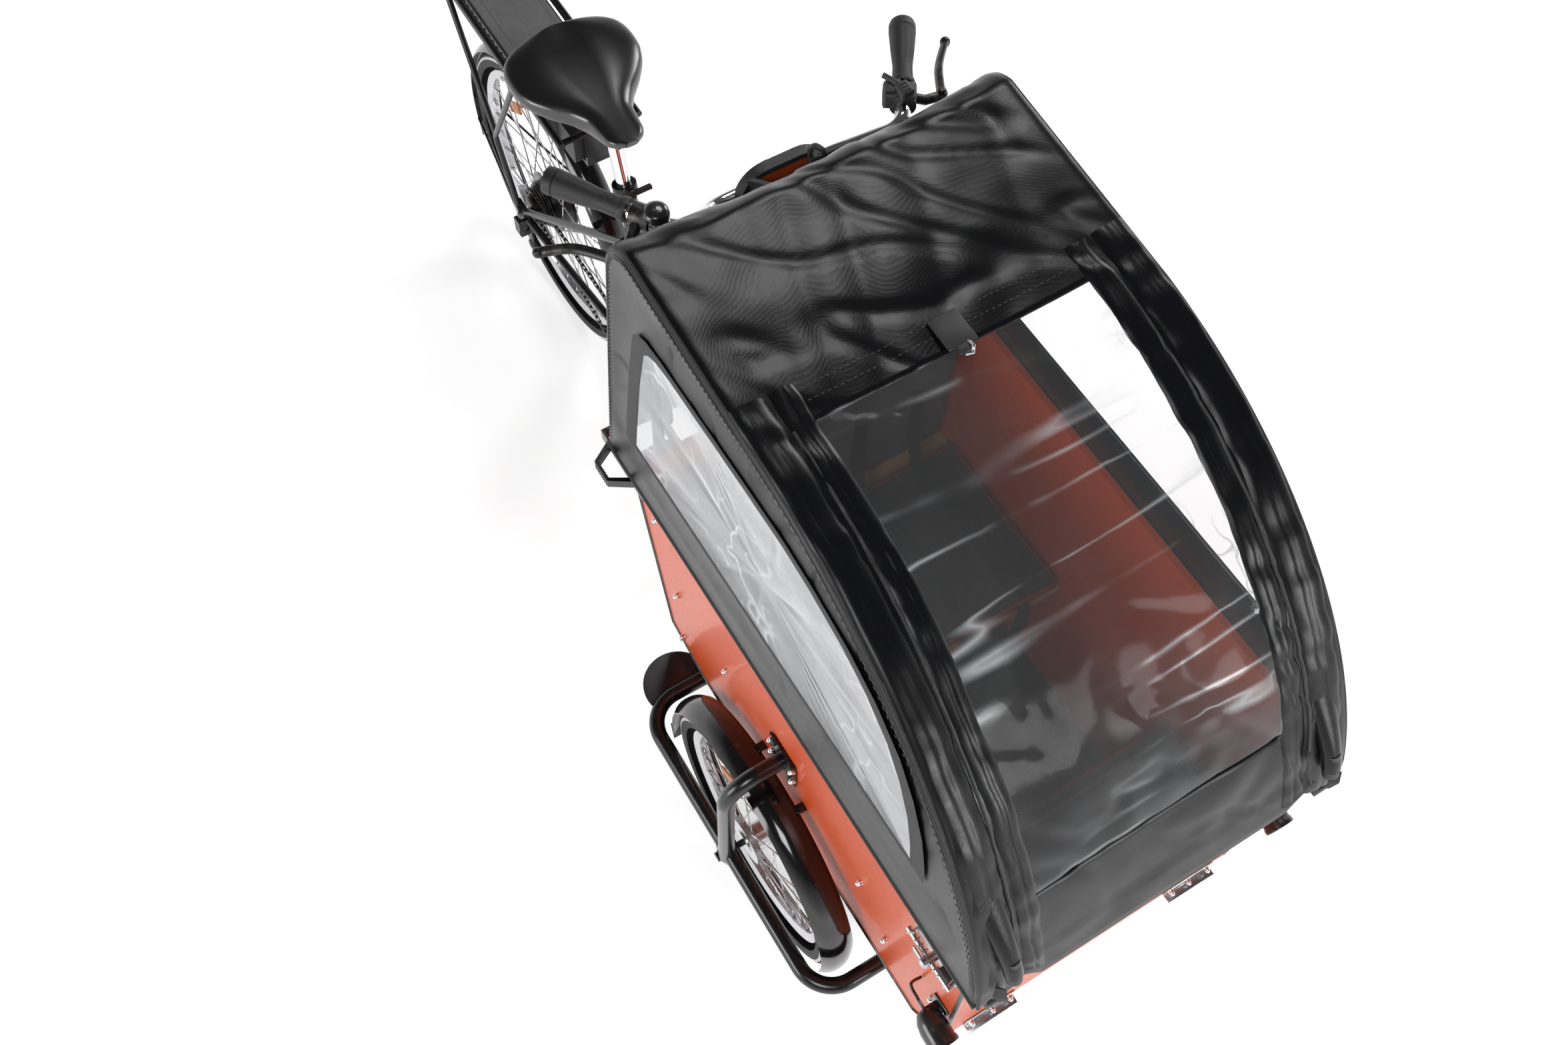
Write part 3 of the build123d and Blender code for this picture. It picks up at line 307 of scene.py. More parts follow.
@dataclass(frozen=True)
class Finish:
    """One surface finish of the trike."""

    name: str
    slot: str
    color: Color
    worn: Color
    roughness: float
    metallic: float = 0.0
    coat: float = 0.0
    coat_roughness: float = 0.08
    variation: float = 0.25
    wear: float = 0.3
    spread: float = 0.12
    relief: Relief = Relief.GRAIN
    relief_scale: float = 400.0
    relief_depth: float = 0.0002
    folds: float = 0.0
    fold_scale: float = 9.0
    alpha: float = 1.0
    film_index: float = 1.45
    film_shadow: float = 0.5
    sheen: float = 0.0
    specular: float = 0.5

    def material(self) -> bpy.types.Material:
        """The material, built once."""
        known = bpy.data.materials.get(self.name)
        if known is not None:
            return known
        made = bpy.data.materials.new(self.name)
        made.use_nodes = True
        tree = made.node_tree
        age = add_node(tree, "Group", {
            "Color": (*self.color, 1), "Worn Color": (*self.worn, 1), "Variation": self.variation,
            "Wear": self.wear, "Roughness": self.roughness, "Spread": self.spread}, node_tree=AGEING)
        values = {"Base Color": age.outputs["Color"], "Roughness": age.outputs["Roughness"],
                  "Metallic": self.metallic, "Coat Weight": self.coat, "Coat Roughness": self.coat_roughness,
                  "Sheen Weight": self.sheen, "Specular IOR Level": self.specular,
                  "Normal": self.normal(tree)}
        if self.alpha < 1:
            values["Alpha"] = self.opacity(tree)
        shader = tree.nodes["Principled BSDF"]
        for name, value in values.items():
            feed(tree, shader.inputs[name], value)
        return made

    def opacity(self, tree: Tree) -> Socket:
        """Opacity of clear film: painted glints on its creases, and a painted reflection as a pale outer rim.
        """
        film = add_node(tree, "Group", {"Clear": self.alpha}, node_tree=PAINTED_CREASE_GLINTS)
        sheer = add_node(tree, "Fresnel", {"IOR": self.film_index}).outputs["Fac"]
        outer = math_node(tree, "SUBTRACT", 1.0, add_node(tree, "NewGeometry").outputs["Backfacing"])
        # Painted reflection: the outer face turns opaque and pale towards grazing angles.
        rim = math_node(tree, "MULTIPLY", rescaled(tree, sheer, 0.035, 3.0), outer)
        total = math_node(tree, "ADD", rim, film.outputs["Opacity"])
        shadow = add_node(tree, "LightPath").outputs["Is Shadow Ray"]
        total = math_node(tree, "MAXIMUM", total, math_node(tree, "MULTIPLY", shadow, self.film_shadow))
        return math_node(tree, "MINIMUM", total, 1.0)

    def normal(self, tree: Tree) -> Socket:
        """Fine relief, over the broad folds where the finish has them."""
        layers = [(Relief.CRINKLE, self.fold_scale, self.folds)] if self.folds > 0 else []
        inputs = {}
        for kind, scale, depth in [*layers, (self.relief, self.relief_scale, self.relief_depth)]:
            group = add_node(tree, "Group", {"Scale": scale}, node_tree=RELIEFS[kind])
            bump = add_node(tree, "Bump", inputs | {"Height": group.outputs["Height"], "Distance": depth})
            inputs = {"Normal": bump.outputs["Normal"]}
        return inputs["Normal"]


ORANGE = Finish("orange_paint", "orange_panel", (0.66, 0.085, 0.013), (0.42, 0.07, 0.03), 0.42, coat=0.15,
                variation=0.12, wear=0.2, relief_scale=900, relief_depth=0.00015, specular=0.35)
BLACK_PAINT = Finish("black_powder_coat", "black_paint", (0.005, 0.005, 0.006), (0.02, 0.02, 0.02), 0.2,
                     coat=0.1, relief_scale=1500, relief_depth=0.0001)
GLOSS_BLACK = Finish("gloss_black_mudguard", "gloss_black", (0.005, 0.005, 0.006), (0.02, 0.02, 0.02), 0.12,
                     coat=0.25, wear=0.15, spread=0.06, relief_scale=300, relief_depth=0.00005)
BLACK_PLASTIC = Finish("moulded_black_plastic", "black_plastic", (0.02, 0.02, 0.021), (0.07, 0.07, 0.07), 0.5,
                       relief_scale=1800, relief_depth=0.00015)
BATTERY_CASE = Finish("battery_case_plastic", "battery_case", (0.12, 0.12, 0.124), (0.18, 0.18, 0.18), 0.45,
                      relief_scale=2200)
CHROME = Finish("chrome_plate", "chrome", (0.82, 0.82, 0.84), (0.6, 0.6, 0.6), 0.09, metallic=1.0,
                spread=0.05, variation=0.05, wear=0.1, relief_scale=200, relief_depth=0.00002)
SILVER = Finish("brushed_rim_alloy", "silver", (0.66, 0.66, 0.68), (0.45, 0.45, 0.46), 0.28, metallic=1.0,
                relief=Relief.BRUSHED, relief_scale=900, relief_depth=0.00005)
STEEL = Finish("zinc_steel", "steel", (0.5, 0.5, 0.51), (0.3, 0.29, 0.28), 0.3, metallic=1.0, wear=0.4,
               relief_scale=700, relief_depth=0.0001)
BLACK_STEEL = Finish("oiled_black_steel", "black_steel", (0.035, 0.034, 0.034), (0.12, 0.11, 0.1), 0.35,
                     metallic=0.8, wear=0.5, relief_scale=900, relief_depth=0.0001)
TYRE = Finish("tyre_rubber", "tyre", (0.016, 0.016, 0.017), (0.06, 0.057, 0.052), 0.72, variation=0.4,
              wear=0.6, relief_scale=1300, relief_depth=0.0003)
STRIPE = Finish("reflective_stripe", "tyre", (0.72, 0.72, 0.7), (0.5, 0.5, 0.48), 0.35, relief=Relief.WEAVE,
                relief_scale=300, relief_depth=0.0001)
GRIP = Finish("grip_rubber_finish", "grip_rubber", (0.01, 0.01, 0.011), (0.035, 0.035, 0.035), 0.55,
              relief=Relief.LEATHER, relief_scale=700, relief_depth=0.0001)
TENT = Finish("coated_tent_fabric", "tent_fabric", (0.0045, 0.0047, 0.0055), (0.009, 0.009, 0.01), 0.24,
              variation=0.2, wear=0.06, spread=0.03, relief=Relief.WEAVE, relief_scale=420,
              relief_depth=0.00003, folds=0.006, fold_scale=3.2, specular=0.26)
BINDING = Finish("tent_binding_tape", "tent_fabric", (0.01, 0.01, 0.011), (0.04, 0.04, 0.04), 0.55,
                 relief=Relief.WEAVE, relief_scale=260, relief_depth=0.0003)
THREAD = Finish("seam_thread", "tent_fabric", (0.06, 0.06, 0.062), (0.1, 0.1, 0.1), 0.6, relief_depth=0.0001)
# Pale colour shows only where the film turns opaque: painted highlights on creases and a painted reflection
# at the rim.
CLEAR = Finish("clear_window_sheet", "clear_sheet", (0.62, 0.64, 0.66), (0.8, 0.8, 0.8), 0.1, variation=0.05,
               wear=0.25, spread=0.06, alpha=0.03, relief=Relief.CRINKLE, relief_scale=7, relief_depth=0.0005,
               folds=0.003, fold_scale=2.6, specular=0.8)
SADDLE_SKIN = Finish("saddle_skin_finish", "saddle_skin", (0.005, 0.005, 0.006), (0.008, 0.008, 0.008), 0.25,
                     relief_scale=700, relief_depth=0.00002, variation=0.1, wear=0.05, spread=0.03,
                     specular=0.95)
CUSHION = Finish("cushion_cloth", "cushion_cover", (0.014, 0.014, 0.017), (0.03, 0.03, 0.03), 0.7,
                 relief=Relief.WEAVE, relief_scale=330, relief_depth=0.0004, folds=0.004, fold_scale=8,
                 sheen=0.2)
PIPING_RED = Finish("red_piping", "cushion_cover", (0.32, 0.012, 0.01), (0.2, 0.01, 0.01), 0.55,
                    relief=Relief.WEAVE, relief_scale=500, relief_depth=0.0003)
WEBBING = Finish("belt_webbing", "cushion_cover", (0.02, 0.02, 0.022), (0.04, 0.04, 0.04), 0.65,
                 relief=Relief.WEAVE, relief_scale=520, relief_depth=0.0004)
PLYWOOD = Finish("varnished_plywood", "bench_wood", (0.42, 0.25, 0.11), (0.3, 0.17, 0.08), 0.42,
                 relief=Relief.WOOD, relief_scale=160, relief_depth=0.0003, variation=0.4)
FLOOR_MAT = Finish("ribbed_floor_mat", "floor_mat", (0.016, 0.016, 0.017), (0.05, 0.048, 0.045), 0.7,
                   relief=Relief.LEATHER, relief_scale=160, relief_depth=0.0004)
LAMP_BODY = Finish("lamp_housing", "lamp_body", (0.012, 0.012, 0.012), (0.04, 0.04, 0.04), 0.25, coat=0.4,
                   relief_scale=900, relief_depth=0.0001)
LAMP_LENS = Finish("lamp_lens", "lamp_body", (0.75, 0.77, 0.8), (0.6, 0.6, 0.6), 0.08, coat=0.8,
                   relief=Relief.WEAVE, relief_scale=90, relief_depth=0.0008)
RED_LENS = Finish("red_lens_finish", "red_lens", (0.45, 0.01, 0.01), (0.3, 0.01, 0.01), 0.15, coat=0.6,
                  relief=Relief.WEAVE, relief_scale=160, relief_depth=0.0006)
AMBER = Finish("amber_reflector", "red_lens", (0.75, 0.22, 0.01), (0.5, 0.15, 0.01), 0.2, coat=0.5,
               relief=Relief.WEAVE, relief_scale=200, relief_depth=0.0006)

FINISH_NODES: dict[Finish, str] = {
    ORANGE: "backboard box_front box_front_lower box_rear box_rear_lower box_side_left box_side_right",
    BLACK_PAINT: "front_carriage main_frame rear_bracket rear_carrier rear_hub_motor tent_bows"
                 " wheel_guard_left wheel_guard_right",
    GLOSS_BLACK: "front_fenders rear_fender",
    BLACK_PLASTIC: "bar_controls battery_dock bow_plugs pedal_left pedal_right rear_handle",
    BLACK_STEEL: "brake_levers cassette chain crank_set derailleur seat_clamp",
    BATTERY_CASE: "battery",
    CHROME: "handlebar seat_post",
    SILVER: "front_wheel_left front_wheel_right rear_rim",
    STEEL: "latches rear_axle",
    TYRE: "front_tyre_left front_tyre_right rear_tyre",
    GRIP: "grips",
    TENT: "tent_rear tent_roof tent_side_left tent_side_right",
    CLEAR: "front_window side_windows",
    SADDLE_SKIN: "saddle",
    CUSHION: "cushion_back cushion_front cushion_rear",
    PLYWOOD: "bench_boards",
    FLOOR_MAT: "box_floor",
    LAMP_BODY: "bell headlights",
    RED_LENS: "rear_light",
}
NODE_FINISHES = {node: finish for finish, nodes in FINISH_NODES.items() for node in nodes.split()}


# Mesh helpers


@dataclass
class Shape:
    """Geometry of one piece, gathered from simple forms, in the row frame and in metres."""

    verts: list[Vector] = field(default_factory=list)
    faces: list[tuple[int, ...]] = field(default_factory=list)
    tints: list[int] = field(default_factory=list)

    def add(self, verts: list[Vector], faces: list[tuple[int, ...]]) -> None:
        """Adds vertices and faces."""
        start = len(self.verts)
        self.verts.extend(verts)
        self.faces.extend(tuple(i + start for i in face) for face in faces)

    def grid(self, rows: list[list[Vector]], wrap: bool = False) -> None:
        """Joins rows of points into a sheet, closing each row on itself where wrap is true."""
        across = len(rows[0])
        faces = []
        for r in range(len(rows) - 1):
            for c in range(across if wrap else across - 1):
                d = (c + 1) % across
                faces.append((r * across + c, r * across + d, (r + 1) * across + d, (r + 1) * across + c))
        self.add([p for row in rows for p in row], faces)

    def cap(self, rows: list[list[Vector]]) -> None:
        """Closes the first and the last row."""
        for row in (rows[0], rows[-1]):
            self.add(row, [tuple(range(len(row)))])

    def tube(self, points: list[Vector], radius: float, sides: int = 10, closed: bool = False,
             flat: float = 1.0) -> None:
        """Round or flattened tube along points.

        Args:
            points: The centre line.
            radius: Radius in metres.
            sides: Number of sides.
            closed: True for a loop.
            flat: Thickness as a share of the width.
        """
        count = len(points)
        tangents = []
        for i in range(count):
            before = points[i - 1] if i > 0 or closed else points[0]
            after = points[(i + 1) % count] if i < count - 1 or closed else points[-1]
            tangents.append((after - before).normalized())
        side = tangents[0].orthogonal().normalized()
        rows = []
        for point, tangent in zip(points, tangents):
            side = (side - tangent * side.dot(tangent)).normalized()
            rows.append(ring(point, side, tangent.cross(side), radius, sides, flat))
        if closed:
            rows.append(rows[0])
        self.grid(rows, wrap=True)
        if not closed:
            self.cap(rows)

    def lathe(self, origin: Vector, axis: Vector, profile: Outline, sides: int = 24) -> None:
        """Turned form.

        Args:
            origin: Start of the axis.
            axis: Direction of the axis.
            profile: Pairs of radius and height, in millimetres.
            sides: Number of sides.
        """
        axis = axis.normalized()
        side = axis.orthogonal().normalized()
        up = axis.cross(side)
        self.grid([ring(origin + axis * height / 1000, side, up, max(radius, 0.01) / 1000, sides)
                   for radius, height in profile], wrap=True)

    def block(self, centre: Vector, size: Point, bevel: float = 1.0, turn: Matrix | None = None) -> None:
        """Box with softened edges.

        Args:
            centre: Its centre.
            size: Its size in millimetres.
            bevel: Edge radius in millimetres.
            turn: Rotation about its centre.
        """
        half = Vector(size) / 2000
        soft = Vector((bevel, bevel, bevel)) / 1000
        points = []
        for sign in product((-1, 1), repeat=3):
            reaches = []
            for k in range(3):
                reach = half - soft
                reach[k] = half[k]
                reaches.append(reach)
            reaches.append(half - soft * 0.42)
            points.extend(Vector(s * r for s, r in zip(sign, reach)) for reach in reaches)
        self.hull([centre + (turn @ p if turn else p) for p in points])

    def hull(self, points: list[Vector]) -> None:
        """Convex form round points."""
        mesh = bmesh.new()
        for point in points:
            mesh.verts.new(point)
        bmesh.ops.convex_hull(mesh, input=mesh.verts)
        loose = [v for v in mesh.verts if not v.link_faces]
        bmesh.ops.delete(mesh, geom=loose, context="VERTS")
        mesh.verts.index_update()
        self.add([v.co.copy() for v in mesh.verts], [tuple(v.index for v in f.verts) for f in mesh.faces])
        mesh.free()

    def cap_nut(self, centre: Vector, axis: Vector, size: float = 6.5) -> None:
        """Domed nut on a washer, its seat at centre."""
        shares = [(0, 0), (1.25, 0), (1.25, 1.2 / size), (1, 1.2 / size), (1, 0.9), (0.78, 1), (0.7, 1.4),
                  (0.4, 1.75), (0, 1.85)]
        self.lathe(centre, axis, [(size * r, size * h) for r, h in shares], 12)

    def piece(self, name: str, body: Body, *finishes: Finish, smooth: float = 38.0) -> bpy.types.Object:
        """Makes the object, gives it its materials and lets it ride.

        Args:
            name: The piece's name.
            body: The body it moves with.
            finishes: Its finishes, in tint order.
            smooth: Angle in degrees above which an edge stays sharp.

        Returns:
            The object.
        """
        mesh = bpy.data.meshes.new(name)
        mesh.from_pydata(self.verts, [], self.faces)
        joined = bmesh.new()
        joined.from_mesh(mesh)
        bmesh.ops.remove_doubles(joined, verts=joined.verts, dist=WELD_DISTANCE)
        bmesh.ops.recalc_face_normals(joined, faces=joined.faces)
        joined.to_mesh(mesh)
        joined.free()
        for finish in finishes:
            mesh.materials.append(finish.material())
        if self.tints:
            mesh.polygons.foreach_set("material_index", self.tints)
        mesh.polygons.foreach_set("use_smooth", [True] * len(mesh.polygons))
        mesh.set_sharp_from_angle(angle=math.radians(smooth))
        made = bpy.data.objects.new(name, mesh)
        bpy.context.scene.collection.objects.link(made)
        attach(made, body.value)
        log.info("%s: %d faces", name, len(mesh.polygons))
        return made


# Rain tent


@dataclass
class RainTent:
    """Coated fabric over two bows, with clear windows."""

    hem_z: float = 852.0
    rear_x: float = -492.0
    rear_top: tuple[float, float] = (-462.0, 1310.0)
    crest: tuple[float, float] = (-402.0, 1392.0)
    shoulder_x: float = -60.0
    bow_centre: tuple[float, float] = (-161.0, 685.0)
    bow_radius: float = 683.0
    bow_foot_z: float = 900.0
    plug_y: float = 258.0
    plug_offset: float = 11.7
    front_hem_x: float = 497.0
    top_width: float = 576.0
    hem_width: float = 614.4
    window_half: float = 206.0
    window_share: float = 206.0 / 295.0
    window_rear_x: float = -112.0
    window_front_x: float = 440.0
    window_centre: tuple[float, float] = (-60.0, 1105.0)
    corner: float = 14.0
    lift: float = 0.6
    notch_start: float = 204.0
    notch_depth: float = 40.0
    hem_stitches: int = 120
    thickness: float = 0.0012
    path: Outline = field(default_factory=list)

    def half_width(self, z: float) -> float:
        """Half width of the tent at a height."""
        share = (z - self.hem_z + 10) / (self.crest[1] + 30 - self.hem_z)
        return (self.hem_width + share * (self.top_width - self.hem_width)) / 2

    def profile(self, step: float = 9.0) -> Outline:
        """Side outline from the rear hem over the top to the front hem, in even steps."""
        cx, cz = self.bow_centre
        key: Outline = [(self.rear_x, self.hem_z), self.rear_top]
        bend = (self.rear_top[0] + 16, self.rear_top[1] + 54)
        for k in range(1, 13):
            t = k / 12
            shares = ((1 - t) * (1 - 2 * t), 4 * t * (1 - t), t * (2 * t - 1))
            key.append(tuple(sum(s * p[i] for s, p in zip(shares, (self.rear_top, bend, self.crest)))
                             for i in (0, 1)))
        start = math.acos((self.shoulder_x - cx) / self.bow_radius)
        foot = math.asin((self.bow_foot_z - cz) / self.bow_radius)
        for k in range(61):
            angle = start + (foot - start) * k / 60
            key.append((cx + self.bow_radius * math.cos(angle), cz + self.bow_radius * math.sin(angle)))
        key.append((self.front_hem_x, self.hem_z))
        steps = []
        for (x0, z0), (x1, z1) in pairwise(key):
            pieces = max(1, round(math.hypot(x1 - x0, z1 - z0) / step))
            steps.extend((x0 + (x1 - x0) * k / pieces, z0 + (z1 - z0) * k / pieces) for k in range(pieces))
        return steps + [key[-1]]

    def along(self, index: int) -> Vector:
        """Unit vector along the side outline."""
        before, after = self.path[max(0, index - 1)], self.path[min(len(self.path) - 1, index + 1)]
        return Vector((after[0] - before[0], 0, after[1] - before[1])).normalized()

    def outward(self, index: int) -> Vector:
        """Unit vector out of the tent at a point of the side outline."""
        tangent = self.along(index)
        return Vector((-tangent.z, 0, tangent.x))

    def inset(self, index: int, depth: float) -> tuple[float, float]:
        """Point of the side outline, moved inward."""
        x, z = self.path[index]
        out = self.outward(index)
        ends = (0, len(self.path) - 1)
        return x - out.x * depth, self.hem_z if index in ends else max(self.hem_z, z - out.z * depth)

    def wrinkle(self, x: float, y: float, z: float) -> float:
        """Inward dent of the cloth at a point, in millimetres."""
        broad = noise.fractal(Vector((x * 0.006, y * 0.0045, z * 0.006)), 1.0, 2.0, 3)
        fold = abs(noise.noise(Vector((x * 0.004 + y * 0.011, y * 0.004, z * 0.012))))
        crease = abs(noise.noise(Vector((x * 0.013 - y * 0.009, y * 0.006 + z * 0.004, z * 0.008 + 7))))
        return 3.0 + 3.4 * broad + 5.0 * (0.45 - fold) + 3.0 * max(0.0, 0.16 - crease) / 0.16

    def roof_point(self, index: int, y_share: float, notched: bool = True) -> Vector:
        """Point of the roof sheet.

        Args:
            index: Index along the side outline.
            y_share: From -1 at the right edge to 1 at the left.
            notched: True to follow the arched notches of the front hem.

        Returns:
            The point in metres.
        """
        x, z = self.path[index]
        width = self.half_width(z) - self.lift
        y = y_share * width
        notch_top = self.bow_foot_z + 6
        if notched and x > 400 and z < notch_top:
            down = (notch_top - z) / (notch_top - self.hem_z)
            place = min(1.0, max(0.0, (abs(y) - self.notch_start) / (width - self.notch_start)))
            rise = down * self.notch_depth * math.sin(math.pi * place)
            x, z = x - rise * 0.2, z + rise
        edge = max(0.0, abs(y) - (width - self.corner))
        drop = self.corner - math.sqrt(max(0.0, self.corner ** 2 - edge ** 2)) if edge else 0.0
        calm = min(1.0, (width - abs(y)) / 60) * min(1.0, index / 10, (len(self.path) - 1 - index) / 6)
        sag = 7.0 * (1 - y_share ** 2) * calm
        dent = drop + self.lift + calm * max(0.0, self.wrinkle(x, y, z)) + sag
        return at(x, y, z) - self.outward(index) * dent / 1000

    def build(self) -> None:
        """Makes every piece of the tent."""
        self.path = self.profile()
        inside = [i for i, (x, z) in enumerate(self.path)
                  if self.window_rear_x <= x <= self.window_front_x and z > self.bow_foot_z]
        first, last = inside[0], inside[-1]
        self.build_roof(first, last)
        for word, side in SIDES.items():
            self.build_side(word, side)
            self.build_bands(word, side, first)
        self.build_seams(first)
        self.build_straps()

    def build_roof(self, first: int, last: int) -> None:
        """Roof, front and rear sheet with the clear front window between two indices of the outline."""
        edge = self.window_share
        shares = {k / 40 for k in range(-40, 41) if abs(abs(k / 40) - edge) > 0.012} | {-edge, edge}
        shares |= {s * (1 - 0.003 * k) for s in BOTH for k in range(1, 9)}
        shares = sorted(shares)
        skin, clear = Shape(), Shape()
        rows = [[self.roof_point(i, s) for s in shares] for i in range(len(self.path))]
        for i, (row, after) in enumerate(pairwise(rows)):
            for c, (s0, s1) in enumerate(pairwise(shares)):
                in_window = first <= i < last and abs(s0 + s1) / 2 < edge
                target = clear if in_window else skin
                target.add([row[c], row[c + 1], after[c + 1], after[c]], [(0, 1, 2, 3)])
        roof = skin.piece("tent_roof_sheet", Body.FRONT, TENT, smooth=60)
        self.thicken(roof)
        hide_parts("tent_roof", "tent_rear")
        glass = clear.piece("front_window_sheet", Body.FRONT, CLEAR, smooth=60)
        self.face_out(glass, Vector((0.6, 0, 0.8)))
        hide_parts("front_window")

    def run(self, first: int, last: int) -> float:
        """Length of the side outline between two indices, in metres."""
        return sum(math.dist(a, b) for a, b in pairwise(self.path[first:last + 1])) / 1000

    def face_out(self, piece: bpy.types.Object, out: Vector) -> None:
        """Turns a sheet's normals so that most of them point outward."""
        if sum(face.normal.dot(out) for face in piece.data.polygons) < 0:
            piece.data.flip_normals()

    def thicken(self, piece: bpy.types.Object) -> None:
        """Gives a sheet its thickness, inward."""
        solid = piece.modifiers.new("thickness", "SOLIDIFY")
        solid.thickness = self.thickness
        solid.offset = -1.0

    def window_outline(self) -> Outline:
        """Outline of the side window."""
        return [(-398.0, 975.0), (-392.0, 1040.0), (-378.0, 1160.0), (-364.0, 1243.0), (-352.0, 1257.0),
                (-332.0, 1267.0), (-300.0, 1271.0), (-200.0, 1273.0), (-100.0, 1274.0), (-19.0, 1273.0),
                (40.0, 1265.0), (110.0, 1248.0), (170.0, 1222.0), (225.0, 1182.0), (262.0, 1136.0),
                (292.0, 1080.0), (310.0, 1025.0), (318.0, 986.0)]

    def ray(self, outline: Outline, angle: float) -> tuple[float, float]:
        """Where a ray from the window's centre meets a closed outline."""
        cx, cz = self.window_centre
        dx, dz = math.cos(angle), math.sin(angle)
        for (x0, z0), (x1, z1) in pairwise(outline + outline[:1]):
            ex, ez = x1 - x0, z1 - z0
            cross = dx * ez - dz * ex
            if abs(cross) < 1e-9:
                continue
            t = ((x0 - cx) * ez - (z0 - cz) * ex) / cross
            u = ((x0 - cx) * dz - (z0 - cz) * dx) / cross
            if t > 0 and -1e-6 <= u <= 1 + 1e-6:
                return cx + dx * t, cz + dz * t
        return self.window_centre

    def side_point(self, x: float, z: float, side: int, calm: float, depth: float) -> Vector:
        """Point of the side sheet, dented inward."""
        rim_share = min(1.0, max(0.0, (z - 905) / 70))
        dent = calm * rim_share * (max(0.0, self.wrinkle(x, side * 250, z)) * 0.6 + 3.0) + depth
        return at(x, side * (self.half_width(z) - self.lift - dent), z)

    def build_side(self, word: str, side: int) -> None:
        """Side sheet with its clear window and the frame sewn round it."""
        cx, cz = self.window_centre
        inset = [self.inset(i, self.corner * 0.8) for i in range(len(self.path))]
        window = self.window_outline()
        corners = [(self.rear_x + 10, self.hem_z), (self.front_hem_x - 6, self.hem_z), *window]
        angles = sorted({math.atan2(z - cz, x - cx) for x, z in corners}
                        | {math.radians(k) for k in range(-180, 180)})
        outer = [self.ray(inset, a) for a in angles]
        inner = [self.ray(window, a) for a in angles]
        skin, clear, tape = Shape(), Shape(), Shape()
        rows = []
        for k in range(15):
            t = k / 14
            calm = math.sin(math.pi * min(1.0, t * 1.1)) if t < 0.9 else 0.1
            rows.append([self.side_point(i[0] + (o[0] - i[0]) * t, i[1] + (o[1] - i[1]) * t, side, calm, 0.0)
                         for o, i in zip(outer, inner)])
        skin.grid(rows, wrap=True)
        sheet = skin.piece("tent_side_sheet_" + word, Body.FRONT, TENT, smooth=60)
        self.thicken(sheet)
        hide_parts("tent_side_" + word)
        clear.grid([[self.side_point(cx + (x - cx) * t, cz + (z - cz) * t, side, (1 - t ** 3) * 0.8, 0.6)
                     for x, z in inner] for t in (k / 8 for k in range(9))], wrap=True)
        glass = clear.piece("side_window_sheet_" + word, Body.FRONT, CLEAR, smooth=60)
        self.face_out(glass, Vector((0, side, 0)))
        if side == 1:
            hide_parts("side_windows")
        tape.grid([[self.side_point(x + (x - cx) * t, z + (z - cz) * t, side, 0.05, depth) for x, z in inner]
                   for t, depth in ((-0.02, 0.2), (0.0, -0.5), (0.05, -0.5), (0.07, 0.2))], wrap=True)
        tape.piece("side_window_border_" + word, Body.FRONT, BINDING, smooth=50)

    def build_bands(self, word: str, side: int, first: int) -> None:
        """Sleeve over the bow and zip flap beside the front window."""
        end = len(self.path) - 2
        for name, low, high, lift in (("bow_sleeve", 236, 287, 4.6), ("zip_flap", 196, 232, 4.2)):
            rows = []
            for i in range(first - 6, end):
                x, z = self.path[i]
                wave = 3.0 * noise.noise(Vector((x * 0.02, side * low * 0.1, z * 0.02)))
                row = []
                for k in range(13):
                    t = k / 12
                    y = low + wave + (high - low) * t
                    share = min(0.985, y / self.half_width(z)) * side
                    seam = 1 - 0.45 * math.exp(-(((t - 0.5) / 0.06) ** 2))
                    bulge = lift * math.sin(math.pi * t) ** 0.6 * seam if 0 < k < 12 else -0.8
                    ripple = 3.0 * noise.noise(Vector((x * 0.034, side * low * 0.3 + t * 0.5, z * 0.034)))
                    row.append(self.roof_point(i, share, name != "bow_sleeve")
                               + self.outward(i) * (bulge + ripple) / 1000)
                rows.append(row)
            band = Shape()
            band.grid(rows)
            band.piece("tent_" + name + "_" + word, Body.FRONT, TENT, smooth=60)
        self.build_sleeve_end(word, side)
        zipper = Shape()
        zipper.tube([self.roof_point(i, side * 0.79) + self.outward(i) * 0.001 for i in range(first, end)],
                    0.0028, 6, flat=0.6)
        zipper.piece("tent_zip_" + word, Body.FRONT, BLACK_PLASTIC)

    def build_sleeve_end(self, word: str, side: int) -> None:
        """End of the sleeve, drawn down over the bow's plug."""
        cx, cz = self.bow_centre
        cuff, rows = Shape(), []
        for t, grown in ((0.008, -1.4), (0.0, 0.0), *((k / 16, 0.0) for k in range(1, 17))):
            sink = t * t * (3 - 2 * t)
            reach = self.bow_radius + self.plug_offset - 27.0 * sink
            z = 938.0 + 130.0 * t
            run = math.sqrt(reach ** 2 - (z - cz) ** 2)
            deep, wide = 12.8 - 2.8 * sink + grown, 13.2 + 8.0 * sink + grown
            row = []
            for angle in turns(20):
                out = (reach + math.cos(angle) * deep) / reach
                y = self.plug_y + 4 * sink + math.sin(angle) * wide
                row.append(at(cx + run * out, side * y, cz + (z - cz) * out))
            rows.append(row)
        cuff.grid(rows, wrap=True)
        cuff.piece("tent_sleeve_end_" + word, Body.FRONT, TENT, smooth=60)

